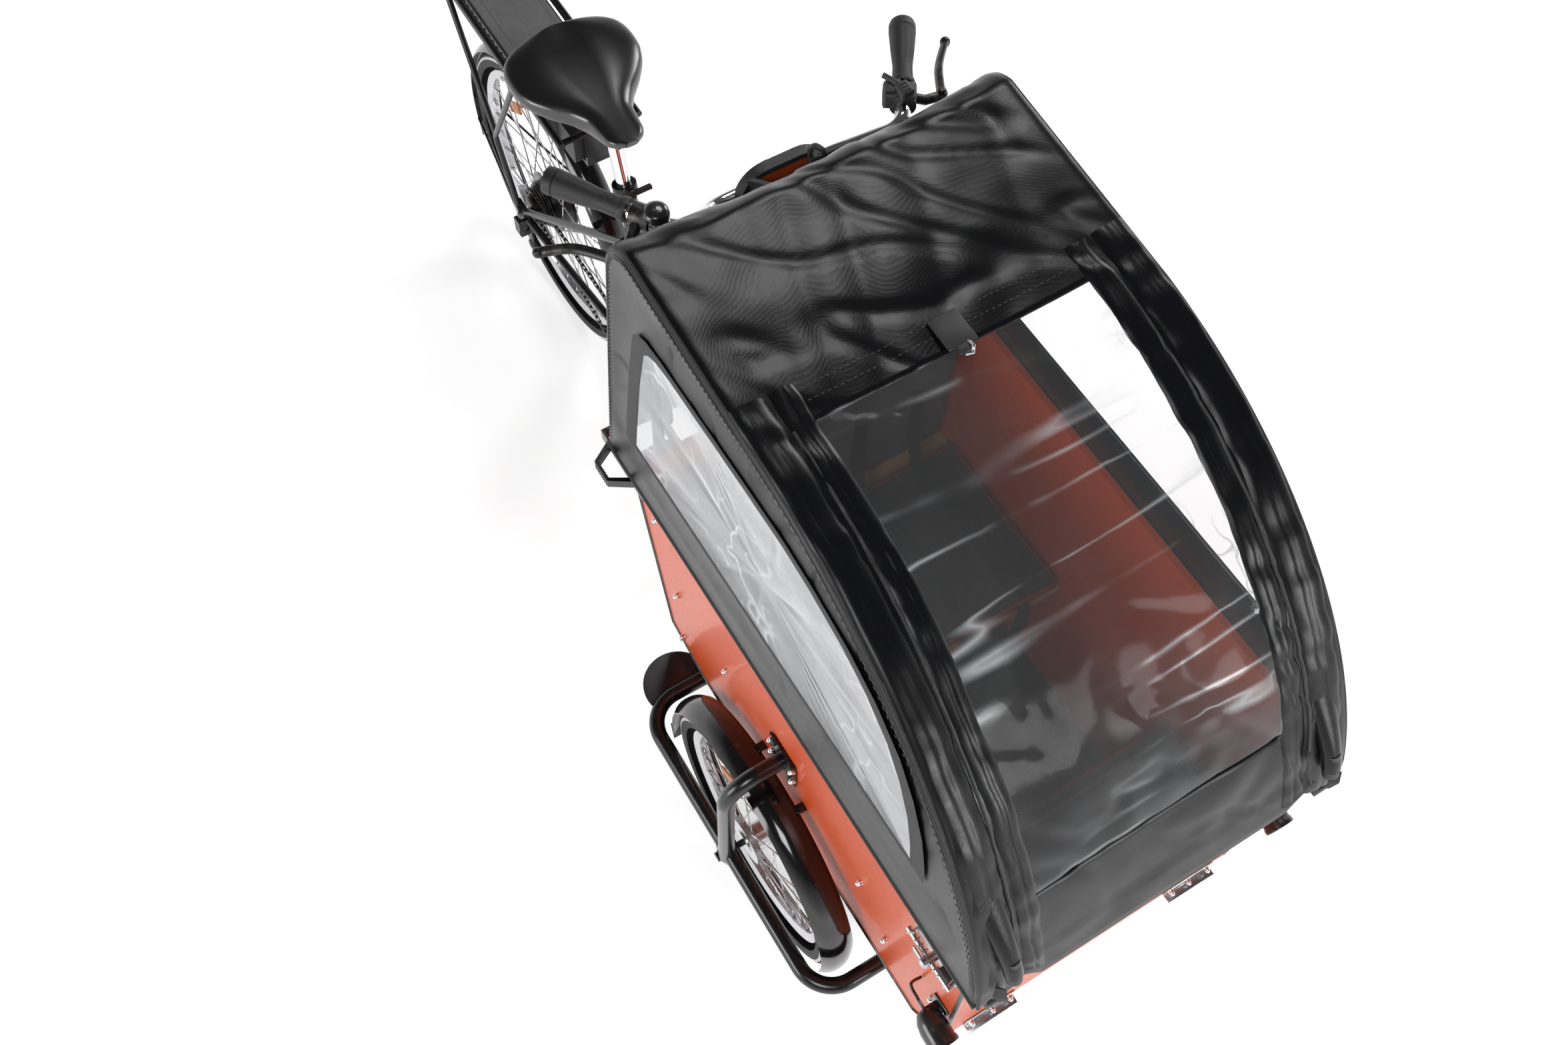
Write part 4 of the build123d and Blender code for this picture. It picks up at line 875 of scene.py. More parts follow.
    def build_seams(self, first: int) -> None:
        """Piping along both side seams, hem bindings and rows of stitches."""
        piping, stitches = Shape(), Shape()
        hem_length = self.front_hem_x - self.rear_x
        for side in BOTH:
            piping.tube([at(x, side * (self.half_width(z) - 6.5), z) + self.outward(i) * -0.0062
                         for i, (x, z) in enumerate(self.path)], 0.0032, 8)
            hem_y = side * (self.half_width(self.hem_z) - 1.6)
            piping.tube([at(self.rear_x + 6 + (hem_length - 14) * k / 40, hem_y, self.hem_z + 5)
                         for k in range(41)], 0.0045, 6, flat=0.5)
            for offset in (13, 18):
                for i in range(1, len(self.path) - 1):
                    x, z = self.inset(i, offset)
                    if z > self.hem_z + 6:
                        self.stitch(stitches, at(x, side * (self.half_width(z) - 0.7), z), self.along(i))
            stitch_z = self.hem_z + 14
            for k in range(self.hem_stitches):
                place = at(self.rear_x + 12 + 8.0 * k, side * (self.half_width(stitch_z) - 1.0), stitch_z)
                self.stitch(stitches, place, FORWARD)
        for index in (first - 3, first - 5):
            for k in range(-24, 25):
                base = self.roof_point(index, k / 32)
                self.stitch(stitches, base + self.outward(index) * 0.0004, LEFTWARD)
        piping.piece("tent_piping", Body.FRONT, BINDING)
        stitches.piece("tent_stitches", Body.FRONT, THREAD)

    def stitch(self, shape: Shape, centre: Vector, along: Vector) -> None:
        """One small thread stitch."""
        across = along.cross(UP if abs(along.z) < 0.9 else FORWARD).normalized()
        third = along.cross(across)
        points = [centre + along * 0.0022 * s + (across * a + third * b) * 0.0005
                  for s in BOTH for a, b in ((1, 0), (0, 1), (-1, 0), (0, -1))]
        faces = [(0, 1, 5, 4), (1, 2, 6, 5), (2, 3, 7, 6), (3, 0, 4, 7), (0, 3, 2, 1), (4, 5, 6, 7)]
        shape.add(points, faces)

    def build_straps(self) -> None:
        """Straps, buckles and hooks at the front corners and the flap tabs."""
        strap, metal, clip = Shape(), Shape(), Shape()
        for side in BOTH:
            y = side * 276
            strap.tube([at(489, y, 905), at(497, y, 880), at(494, y, 850), at(478, y, 828), at(467, y, 806)],
                       0.010, 8, flat=0.12)
            clip.block(at(493, y, 846), (9, 26, 26), 2)
            metal.tube(ring(at(482, side * 250, 852), LEFTWARD, UP, 0.012, 20), 0.0018, 6, closed=True)
        clip.block(at(-129, 8, 1361.5), (50, 42, 3), 1)
        clip.block(at(-100, 8, 1361), (14, 22, 4), 1.5)
        metal.tube([at(-104, 14, 1364), at(-94, 14, 1368), at(-86, 8, 1367), at(-90, 1, 1364)], 0.0026, 8)
        clip.block(at(-477, 58, 1294), (5, 60, 26), 1)
        clip.tube(smooth_line([at(-481, 34, 1288), at(-485, 33, 1306), at(-484, 34, 1319), at(-478, 37, 1326),
                               at(-471, 42, 1323), at(-469, 45, 1316)]), 0.0045, 8)
        strap.piece("tent_straps", Body.FRONT, WEBBING)
        clip.piece("tent_buckles", Body.FRONT, BLACK_PLASTIC)
        metal.piece("tent_hooks", Body.FRONT, CHROME)


# Box fittings and seats


@dataclass
class CargoBox:
    """Trim, nuts, corner plates and seats of the box."""

    bottom_z: float = 295.0
    rim_z: float = 890.0
    bottom_half: float = 266.0
    top_half: float = 302.0
    flange_x: tuple[float, float] = (-22, 39)
    flange_lift: float = 4.4

    def side_y(self, z: float) -> float:
        """Outer face of the side wall at a height."""
        share = (z - self.bottom_z) / (self.rim_z - self.bottom_z)
        return self.bottom_half + share * (self.top_half - self.bottom_half)

    def build(self) -> None:
        """Makes every fitting of the box."""
        self.build_trim()
        self.build_nuts()
        for node in ("cushion_rear", "cushion_front", "cushion_back"):
            self.build_cushion(node)
        self.build_belts()

    def build_trim(self) -> None:
        """Angle trim along the lower edges and the rim."""
        trim = Shape()
        outline = [(-412, 880), (-388, 345), (-285, 297), (392, 297), (462, 430), (462, 880)]
        for side in BOTH:
            for a, b in pairwise([at(x, side * (self.side_y(z) + 0.2), z) for x, z in outline]):
                trim.tube([a, a.lerp(b, 0.5), b], 0.0035, 6, flat=0.7)
        trim.piece("box_edge_trim", Body.FRONT, BLACK_STEEL)

    def build_nuts(self) -> None:
        """Cap nuts on the side walls, corner plates with nuts on the front panel."""
        nuts, plates = Shape(), Shape()
        lean = math.atan2(self.top_half - self.bottom_half, self.rim_z - self.bottom_z)
        for side in BOTH:
            out = Vector((0, side * math.cos(lean), -math.sin(lean)))
            for x, z in ((-329, 575), (-350, 350), (-172, 580), (-22, 626), (39, 580), (225, 576), (-22, 574),
                         (39, 628), (-350, 820), (300, 470), (420, 560)):
                offset = self.flange_lift if x in self.flange_x else 0.0
                nuts.cap_nut(at(x, side * (self.side_y(z) + offset), z), out, 5.5)
            plates.block(at(465.6, side * 194, 446), (3, 92, 28), 1)
            plates.block(at(473, side * 194, 433), (16, 92, 3), 1)
            for y in (158, 191, 229):
                nuts.cap_nut(at(467, side * y, 446), FORWARD, 5)
        nuts.piece("box_cap_nuts", Body.FRONT, CHROME)
        plates.piece("box_corner_plates", Body.FRONT, STEEL)

    def build_cushion(self, node: str, count: int = 28) -> None:
        """One crowned cushion with red piping, inside the box of its solid.

        Args:
            node: The CAD node it stands for.
            count: Cells along each edge.
        """
        low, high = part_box(node)
        centre, half = (low + high) / 2, (high - low) / 2
        thin = min(range(3), key=lambda k: half[k])
        wide = [k for k in range(3) if k != thin]
        body, piping, edges = Shape(), Shape(), []
        for face in (1, -1):
            rows = []
            for i in range(count + 1):
                row = []
                for j in range(count + 1):
                    u, v = -1 + 2 * i / count, -1 + 2 * j / count
                    crown = (max(0.0, 1 - abs(u) ** 5) * max(0.0, 1 - abs(v) ** 5)) ** 0.5
                    ripple = 0.03 * noise.noise(Vector((u * 3, v * 3, face * 2.0 + thin)))
                    point = Vector((0, 0, 0))
                    point[wide[0]] = u * half[wide[0]] * (1 - 0.02 * (1 - abs(v)) * abs(u) ** 6) * 0.985
                    point[wide[1]] = v * half[wide[1]] * (1 - 0.02 * (1 - abs(u)) * abs(v) ** 6) * 0.985
                    point[thin] = face * half[thin] * (0.30 + 0.66 * crown + ripple * crown)
                    row.append(centre + point)
                rows.append(row)
            body.grid(rows)
            edge = [rows[i][0] for i in range(count)] + [rows[count][j] for j in range(count)]
            edge += [rows[i][count] for i in range(count, 0, -1)]
            edge += [rows[0][j] for j in range(count, 0, -1)]
            piping.tube(edge, 0.0028, 6, closed=True)
            edges.append(edge + [edge[0]])
        body.grid(edges)
        made = body.piece(node + "_cover", Body.FRONT, CUSHION, smooth=60)
        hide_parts(node)
        piping.piece(node + "_piping", Body.FRONT, PIPING_RED)

    def build_belts(self) -> None:
        """Seat belts hanging from the backrest over the rear cushion."""
        belts, buckles = Shape(), Shape()
        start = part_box("cushion_back")[1].x + 0.003
        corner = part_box("cushion_rear")[1]
        front, top = corner.x, corner.z
        for y in (-0.19, -0.09, 0.06, 0.17):
            points = [Vector(p) for p in (
                (start, y, top + 0.20), (start + 0.004, y, top + 0.08), (start + 0.03, y, top + 0.012),
                (start + 0.10, y + 0.01, top + 0.008), (front - 0.03, y + 0.015, top + 0.006),
                (front + 0.008, y + 0.016, top - 0.03), (front + 0.009, y + 0.016, top - 0.09))]
            belts.tube(points, 0.011, 8, flat=0.12)
            buckles.block(points[-1], (9, 30, 44), 3)
        belts.piece("seat_belts", Body.FRONT, WEBBING)
        buckles.piece("seat_belt_buckles", Body.FRONT, BLACK_PLASTIC)


# Lamps, tensioners and handles


@dataclass
class Fittings:
    """Headlights, tent tensioners, channel handles and guard bolts."""

    box: CargoBox
    lamp_x: float = 489.0
    lamp_y: float = 311.0
    lamp_z: float = 590.0
    tensioner_z: float = 806.0
    board_half: float = 65.0
    board_corner: float = 40.0
    board_shoulder_z: float = 1256.0

    def build(self) -> None:
        """Makes every fitting."""
        self.build_lamps()
        self.build_tensioners()
        self.build_channel()
        self.build_ribs()

    def build_lamps(self) -> None:
        """Headlights with their feet and short leads."""
        lamps, lens = Shape(), Shape()
        x, z = self.lamp_x, self.lamp_z
        back = Vector((-1, 0, 0.14))
        for side in BOTH:
            y = side * self.lamp_y
            front = at(x - 1, y, z - 4)
            lamps.lathe(front, back, [(21, -0.5), (24, 0), (24, 7), (22.5, 9), (22.5, 30), (20, 44), (13, 56),
                                      (0, 60)], 32)
            lens.lathe(front + back * 0.001, -back, [(21, 0), (20, 1.2), (12, 2.6), (0, 3)], 32)
            face = side * (self.box.side_y(z) + 2.4)
            lamps.block(at(x - 51, face + side * 0.6, z), (34, 4, 46), 1.5)
            lamps.block(at(x - 51, (face + y) / 2, z), (20, abs(self.lamp_y - abs(face)), 14), 2)
            lead = [at(x - 55, y, z + 12), at(x - 74, y + side * 3, z + 30), at(x - 96, y - side * 2, z + 20),
                    at(x - 100, side * (self.box.side_y(z) + 2), z - 8)]
            lamps.tube(smooth_line(lead), 0.0025, 8)
        made = lamps.piece("headlight_housings", Body.FRONT, LAMP_BODY)
        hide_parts("headlights")
        lens.piece("headlight_lenses", Body.FRONT, LAMP_LENS)

    def build_tensioners(self) -> None:
        """Slotted bar with hooks, winged knob and shackle on each side."""
        steel, knob = Shape(), Shape()
        z = self.tensioner_z
        for side in BOTH:
            face = self.box.side_y(z) + 1.2
            steel.block(at(402, side * face, z), (98, 3, 22), 1)
            for x in (360, 444):
                hook = [at(x, side * face, z), at(x + 2, side * (face + 10), z + 2),
                        at(x - 3, side * (face + 14), z - 6), at(x, side * (face + 9), z - 13)]
                steel.tube(smooth_line(hook), 0.0026, 8)
            rod_y = side * (face + 11)
            steel.tube([at(352, rod_y, z - 3), at(450, rod_y, z + 1)], 0.0042, 10)
            for k in range(7):
                steel.block(at(372 + 9 * k, rod_y, z - 1), (2.5, 10, 10), 0.6)
            steel.lathe(at(402, side * face, z), Vector((0, side, -0.1)),
                        [(7, 0), (7, 14), (8.2, 15), (8.2, 22), (4.5, 25), (0, 25)], 18)
            steel.block(at(392, side * (face + 20), z - 3), (30, 4, 12), 1.8)
            knob.block(at(430, side * (face + 6), z), (22, 10, 18), 2)
        made = steel.piece("tensioner_steel", Body.FRONT, STEEL)
        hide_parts("latches")
        knob.piece("tensioner_knobs", Body.FRONT, BLACK_PLASTIC)

    def build_channel(self) -> None:
        """Black channel over the raised board's round top."""
        centre_y, centre_z = self.board_corner - self.board_half, self.board_shoulder_z
        edge = [(-self.board_half, 1215), (-self.board_half, centre_z)]
        edge += [(centre_y - self.board_corner * math.cos(a), centre_z + self.board_corner * math.sin(a))
                 for a in (math.pi * k / 16 for k in range(1, 9))]
        edge += [(-y, z) for y, z in reversed(edge)]
        section = ((-512, -7), (-512, 2.5), (-496, 2.5), (-496, -7), (-497.6, -7), (-497.6, 0.6),
                   (-510.4, 0.6), (-510.4, -7))
        rows = []
        for i, (y, z) in enumerate(edge):
            y0, z0 = edge[max(0, i - 1)]
            y1, z1 = edge[min(len(edge) - 1, i + 1)]
            out = Vector((0, z0 - z1, y1 - y0)).normalized() / 1000
            rows.append([at(x, y, z) + out * lift for x, lift in section])
        channel = Shape()
        channel.grid(rows, wrap=True)
        channel.piece("backboard_channel", Body.FRONT, BLACK_PLASTIC)

    def build_ribs(self) -> None:
        """Ribs on the channel handles and bolts through the guard flanges."""
        ribs, bolts = Shape(), Shape()
        for side in BOTH:
            y = self.box.side_y(850) + 35.9
            for k in range(7):
                ribs.block(at(-452 + (k - 3) * 5.4, side * y, 838), (2, 6, 19.5), 0.5)
            out = LEFTWARD * side
            for x, z in ((-16, 572), (32, 628), (-16, 628), (32, 572)):
                bolts.lathe(at(x, side * (self.box.side_y(z) + self.box.flange_lift), z), out,
                            [(7, 0), (7, 4), (4, 6), (0, 6)], 6)
            bolts.lathe(at(0, side * 399, FRONT_RADIUS), out,
                        [(11, 0), (11, 2), (9, 2), (9, 6), (4, 8), (0, 8)], 6)
        ribs.piece("handle_ribs", Body.FRONT, BLACK_PLASTIC)
        bolts.piece("guard_bolts", Body.FRONT, BLACK_STEEL)


# Handlebar controls


@dataclass
class Controls:
    """Grips, levers, bell, shifter and assist switch."""

    inner: Point = (-535.0, 214.0, 1290.0)
    outer: Point = (-634.0, 279.0, 1288.0)

    def grip_line(self, side: int) -> tuple[Vector, Vector, float]:
        """Start, direction and length in millimetres of one grip."""
        start = at(self.inner[0], side * self.inner[1], self.inner[2])
        end = at(self.outer[0], side * self.outer[1], self.outer[2])
        return start, (end - start).normalized(), (end - start).length * 1000

    def collar(self, shape: Shape, place: Vector, along: Vector, radius: float, width: float,
               sides: int = 24) -> None:
        """Clamp round the bar.

        Args:
            shape: The shape to add to.
            place: Start of the clamp on the bar's axis.
            along: Direction of the bar.
            radius: Outer radius in millimetres.
            width: Width in millimetres.
            sides: Number of sides.
        """
        shape.lathe(place, along, [(BAR_RADIUS, 0), (radius, 0), (radius, width), (BAR_RADIUS, width)], sides)

    def build(self) -> None:
        """Makes the controls of both bar ends."""
        grips, levers, extras = Shape(), Shape(), Shape()
        for side in BOTH:
            self.add_grip(grips, side)
            self.add_lever(levers, side)
            self.add_switch(extras, side)
        made = grips.piece("grip_rubbers", Body.FRONT, GRIP)
        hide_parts("grips")
        made = levers.piece("lever_set", Body.FRONT, BLACK_STEEL)
        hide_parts("brake_levers")
        self.build_bell()
        made = extras.piece("shifter_and_switch", Body.FRONT, BLACK_PLASTIC)
        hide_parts("bar_controls")

    def add_grip(self, shape: Shape, side: int) -> None:
        """Flared rubber grip with a collar and an end cap."""
        start, along, length = self.grip_line(side)
        profile = [(11.2, 0), (16.6, 0), (17.2, 2), (17.2, 9), (16.4, 10.5), (14.6, 11)]
        for k in range(25):
            share = k / 24
            waist = 1.2 * math.exp(-(((share - 0.3) / 0.2) ** 2))
            profile.append((14.8 + 4.6 * share ** 1.7 - waist, 12 + share * (length - 27)))
        profile += [(18.4, length - 14), (18.2, length - 12.6), (19.2, length - 12), (19.2, length - 3),
                    (17.6, length + 2), (13, length + 3), (0, length + 3)]
        shape.lathe(start, along, profile, 28)

    def add_lever(self, shape: Shape, side: int) -> None:
        """Brake lever with its clamp, pivot and ball end."""
        start, along, _ = self.grip_line(side)
        seat = start - along * 0.016
        turned = 11 * side
        root = at(-496 - turned, side * 262, self.inner[2] - 16)
        ball = at(-582 - 2 * turned, side * 336.5, self.inner[2] - 36)
        bend = at(-553 - turned, side * 293, self.inner[2] - 28).lerp(root.lerp(ball, 0.5), 0.35)
        self.collar(shape, seat - along * 0.009, along, 16.5, 18, 20)
        shape.tube([seat, seat.lerp(root, 0.5) + Vector((0.007, 0, -0.002)), root], 0.0092, 12, flat=0.8)
        shape.lathe(root - UP * 0.011, UP, [(0, 0), (6, 0), (6, 22), (4, 23.5), (0, 23.5)], 16)
        shape.lathe(root - UP * 0.008, UP, [(0, 0), (8, 0), (8, 14), (5, 16), (0, 16)], 16)
        shape.tube(smooth_line([root, bend, ball]), 0.0072, 12, flat=0.6)
        shape.lathe(ball - UP * 0.0075, UP,
                    [(0, 0), (4.5, 1.2), (7, 4), (7.6, 7.5), (7, 11), (4.5, 13.8), (0, 15)], 14)

    def add_switch(self, shape: Shape, side: int) -> None:
        """Thumb shifter or assist switch on its clamp, and the left side's housing."""
        start, along, _ = self.grip_line(side)
        hub = start - along * 0.031
        body = hub + UP * side * 0.0255
        self.collar(shape, hub - along * 0.005, along, 18.5, 10)
        if side == 1:
            turn = Matrix.Rotation(math.atan2(along.y, along.x), 3, "Z")
            shape.block(hub + along * 0.012 + Vector((-0.003, -0.004, 0.004)), (32, 46, 28), 5, turn)
            shape.block(hub + along * 0.012 + Vector((-0.009, -0.012, 0.0215)), (24, 20, 3), 1, turn)
        shape.block(body, (26, 20, 16), 3.5)
        shape.tube([body + Vector(p) for p in ((-0.008, 0, 0), (-0.024, -side * 0.005, 0.001),
                                               (-0.036, -side * 0.012, 0.003))], 0.004, 10, flat=0.7)
        for k in range(3):
            shape.block(body + Vector((-0.006 + 0.006 * k, 0, side * 0.0086)), (3.4, 9, 1.6), 0.5)

    def build_bell(self) -> None:
        """Flat dome on a stalk beside the right grip."""
        bell = Shape()
        low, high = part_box("bell")
        foot = Vector(((low.x + high.x) / 2, (low.y + high.y) / 2, high.z - 0.026))
        bell.lathe(foot, UP, [(0, 1), (16.5, 0), (18, 0), (18, 4), (17, 8.5), (14, 12), (9.5, 13.8),
                              (5.4, 14.4), (5, 15.4), (0, 15.8)], 36)
        start, along, _ = self.grip_line(-1)
        self.collar(bell, start - along * 0.047, along, 15, 10)
        bell.lathe(start - along * 0.042 + UP * 0.011, UP, [(6, 0), (6, 9)], 16)
        made = bell.piece("bell_dome", Body.FRONT, LAMP_BODY)
        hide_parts("bell")


# Saddle, battery and rear parts


@dataclass
class RearEnd:
    """Saddle, battery trim, chain, pedals and rear details."""

    saddle_z: float = 868.0
    nose_x: float = -964.0
    back_x: float = -1251.0
    tail_start: float = 0.8
    chain_pitch: float = 0.0127
    ring_reach: float = 0.0885
    sprocket_reach: float = 0.0405

    def build(self) -> None:
        """Makes the rear pieces."""
        self.build_saddle()
        self.build_battery()
        self.build_chain()
        self.build_pedals()
        self.build_details()

    def saddle_width(self, t: float) -> float:
        """Half width at a share of the length from the nose, with a round tail."""
        keys = [(0.0, 8), (0.025, 24), (0.08, 34), (0.18, 38.5), (0.28, 43), (0.37, 60), (0.46, 86),
                (0.56, 108), (0.65, 118), (0.74, 120), (self.tail_start, 119)]
        if t > self.tail_start:
            rest = (t - self.tail_start) / (1 - self.tail_start)
            return (keys[-1][1] - 5 * rest) * max(0.0, 1 - rest ** 2.6) ** 0.45
        (t0, w0), (t1, w1) = next(pair for pair in pairwise(keys) if t <= pair[1][0])
        return w0 + (w1 - w0) * (t - t0) / (t1 - t0)

    def saddle_row(self, t: float) -> list[Vector]:
        """One ring of points round the saddle, at a share of its length from the nose."""
        x = self.nose_x + (self.back_x - self.nose_x) * t
        near = 0.02 * min(1.0, 6 * (1 - t))
        width = 1 + sum(self.saddle_width(min(1, max(0, t + near * d))) for d in (-1, -0.5, 0, 0.5, 1)) / 5
        tail = min(1.0, 7 * (1 - t))
        depth = 60 * min(1.0, (0.12 + 3.2 * t) ** 0.6) * min(1.0, (0.1 + 6 * (1 - t)) ** 0.5)
        top = self.saddle_z + 40 - 16 * (1 - t) ** 3 - 9 * math.sin(math.pi * min(1, t * 1.3)) * (1 - t)
        waist = top - depth * 0.42
        row = []
        for angle in turns(48):
            c, s = math.cos(angle), math.sin(angle)
            y = width * math.copysign(abs(c) ** 0.72, c)
            lobe = 7 * tail * t ** 2 * math.sin(min(1.0, abs(y) / (width + 1e-6)) * math.pi) ** 2
            groove = 7 * tail * t ** 1.5 * math.exp(-(y / 17) ** 2)
            if s >= 0:
                z = waist + depth * 0.42 * s ** 0.62 + (lobe - groove) * s ** 1.5 - 3
            else:
                z = waist - depth * 0.5 * abs(s) ** 0.5
            row.append(at(x, y, min(z, self.saddle_z + 41.5)))
        return row

    def build_saddle(self, count: int = 56) -> None:
        """Smooth padded saddle with a narrow nose and two rear lobes, and its rails."""
        shape, rails = Shape(), Shape()
        rows = [self.saddle_row(0.5 - 0.5 * math.cos(math.pi * k / count)) for k in range(count + 1)]
        shape.grid(rows, wrap=True)
        shape.cap(rows)
        made = shape.piece("saddle_pad", Body.REAR, SADDLE_SKIN, smooth=80)
        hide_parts("saddle")
        under = self.saddle_z - 27
        for side in BOTH:
            rails.tube([at(-985, side * 14, under + 19), at(-1030, side * 22, under),
                        at(-1110, side * 22, under), at(-1160, side * 30, under + 19)], 0.0035, 10)
        post_low, post_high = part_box("seat_post")
        clamp_x = (post_high.x + post_low.x) / 2 - 0.044
        rails.block(Vector((clamp_x, 0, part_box("saddle")[0].z + 0.010)), (44, 50, 18), 4)
        rails.piece("saddle_rails", Body.REAR, BLACK_STEEL)

    def build_battery(self) -> None:
        """Lid ridge, side rails, ribs, lock and keys of the battery."""
        low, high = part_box("battery")
        case, rail, lock = Shape(), Shape(), Shape()
        span = high.x - low.x
        middle = (low + high) / 2
        for side in BOTH:
            y = side * ((high.y - low.y) / 2 + 0.0015)
            for z in (high.z - 0.012, low.z + 0.016):
                rail.block(Vector((middle.x, y, z)), (span * 1000 - 12, 3.6, 9), 1.2)
            for k in range(22):
                case.block(Vector((low.x + 0.03 + k * (span - 0.06) / 21, y, middle.z)), (5, 2.6, 34), 0.8)
        case.block(Vector((middle.x, 0, high.z + 0.0006)), (span * 1000 - 30, 88, 3), 1.2)
        for k in range(4):
            case.block(Vector((high.x - 0.05 - 0.012 * k, 0.03, high.z + 0.0022)), (5, 8, 1.6), 0.6)
        dock_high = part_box("battery_dock")[1]
        seat = Vector((dock_high.x - 0.03, -0.02, dock_high.z))
        lock.lathe(seat, UP, [(10, 0), (10, 3), (7, 4), (0, 4)], 24)
        lock.block(seat + UP * 0.012, (14, 2, 18), 0.8)
        lock.tube(ring(seat + UP * 0.028, LEFTWARD, UP, 0.012, 24), 0.0009, 6, closed=True)
        case.piece("battery_ribs", Body.REAR, BATTERY_CASE)
        rail.piece("battery_rails", Body.REAR, BLACK_PLASTIC)
        lock.piece("battery_lock", Body.REAR, STEEL)

    def build_chain(self) -> None:
        """Roller chain round the chainring and the sprocket."""
        low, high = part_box("chain")
        y = (low.y + high.y) / 2
        near, far = at(*CRANK), at(*REAR_AXLE)
        run = far - near
        base = math.atan2(run.z, run.x)
        spread = math.acos((self.ring_reach - self.sprocket_reach) / run.length)
        arcs = ((near, self.ring_reach, base + spread, 2 * math.pi - 2 * spread),
                (far, self.sprocket_reach, base - spread, 2 * spread))
        path = [centre + way(start + sweep * k / 32) * reach for centre, reach, start, sweep in arcs
                for k in range(33)]
        total = sum((after - here).length for here, after in pairwise(path + path[:1]))
        links = round(total / self.chain_pitch)
        spots = self.walk(path, total / links, links)
        shape = Shape()
        for i, (spot, after) in enumerate(pairwise(spots + spots[:1])):
            centre, step = (spot + after) / 2, (after - spot)
            turn = Matrix.Rotation(-math.atan2(step.z, step.x), 3, "Y")
            offset = 0.0026 if i % 2 else 0.0017
            for sign in BOTH:
                place = Vector((centre.x, y + sign * offset, centre.z))
                shape.block(place, (step.length * 1000 + 5.6, 0.9, 7.6), 0.3, turn)
            shape.lathe(Vector((spot.x, y - 0.0029, spot.z)), LEFTWARD,
                        [(0, 0), (2.6, 0), (2.6, 5.8), (0, 5.8)], 8)
        made = shape.piece("chain_links", Body.REAR, BLACK_STEEL)
        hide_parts("chain")

    def walk(self, path: list[Vector], pitch: float, count: int) -> list[Vector]:
        """Evenly spaced points along a closed path."""
        spots, need, index = [], 0.0, 0
        here = path[0]
        while len(spots) < count:
            after = path[(index + 1) % len(path)]
            left = (after - here).length
            if need <= left:
                here = here.lerp(after, need / left if left else 0.0)
                spots.append(here)
                need = pitch
            else:
                need -= left
                index += 1
                here = after
        return spots

    def build_pedals(self) -> None:
        """Tread blocks and reflectors of the pedals."""
        for word, body in (("left", Body.LEFT_PEDAL), ("right", Body.RIGHT_PEDAL)):
            low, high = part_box("pedal_" + word)
            middle = (low + high) / 2
            tread, amber = Shape(), Shape()
            for face, i, j in product((low.z, high.z), range(3), range(5)):
                place = Vector((low.x + 0.014 + 0.022 * i, low.y + 0.012 + 0.017 * j, face))
                tread.block(place, (12, 9, 2.4), 0.7)
            for face in (low.x, high.x):
                amber.block(Vector((face, middle.y, middle.z)), (2.4, 46, 12), 0.8)
            tread.piece("pedal_tread_" + word, body, GRIP)
            amber.piece("pedal_reflector_" + word, body, AMBER)

    def build_details(self) -> None:
        """Chainring teeth and derailleur pulleys."""
        teeth, wheels = Shape(), Shape()
        low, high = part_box("chain")
        for angle in turns(42):
            place = at(*CRANK) + way(angle) * 0.0845
            place.y = (low.y + high.y) / 2
            teeth.block(place, (5, 2, 4), 0.5, Matrix.Rotation(-angle, 3, "Y"))
        teeth.piece("chainring_teeth", Body.CRANK, BLACK_STEEL)
        low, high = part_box("derailleur")
        for z in (low.z + 0.013, low.z + 0.069):
            wheels.lathe(Vector((low.x + 0.013, high.y - 0.012, z)), LEFTWARD,
                         [(0, 0), (5, 0), (5, 1), (12, 1), (13.4, 4), (12, 7), (5, 7), (0, 8)], 20)
        wheels.piece("pulley_wheels", Body.REAR, BLACK_PLASTIC)


# Wheels and mudguards


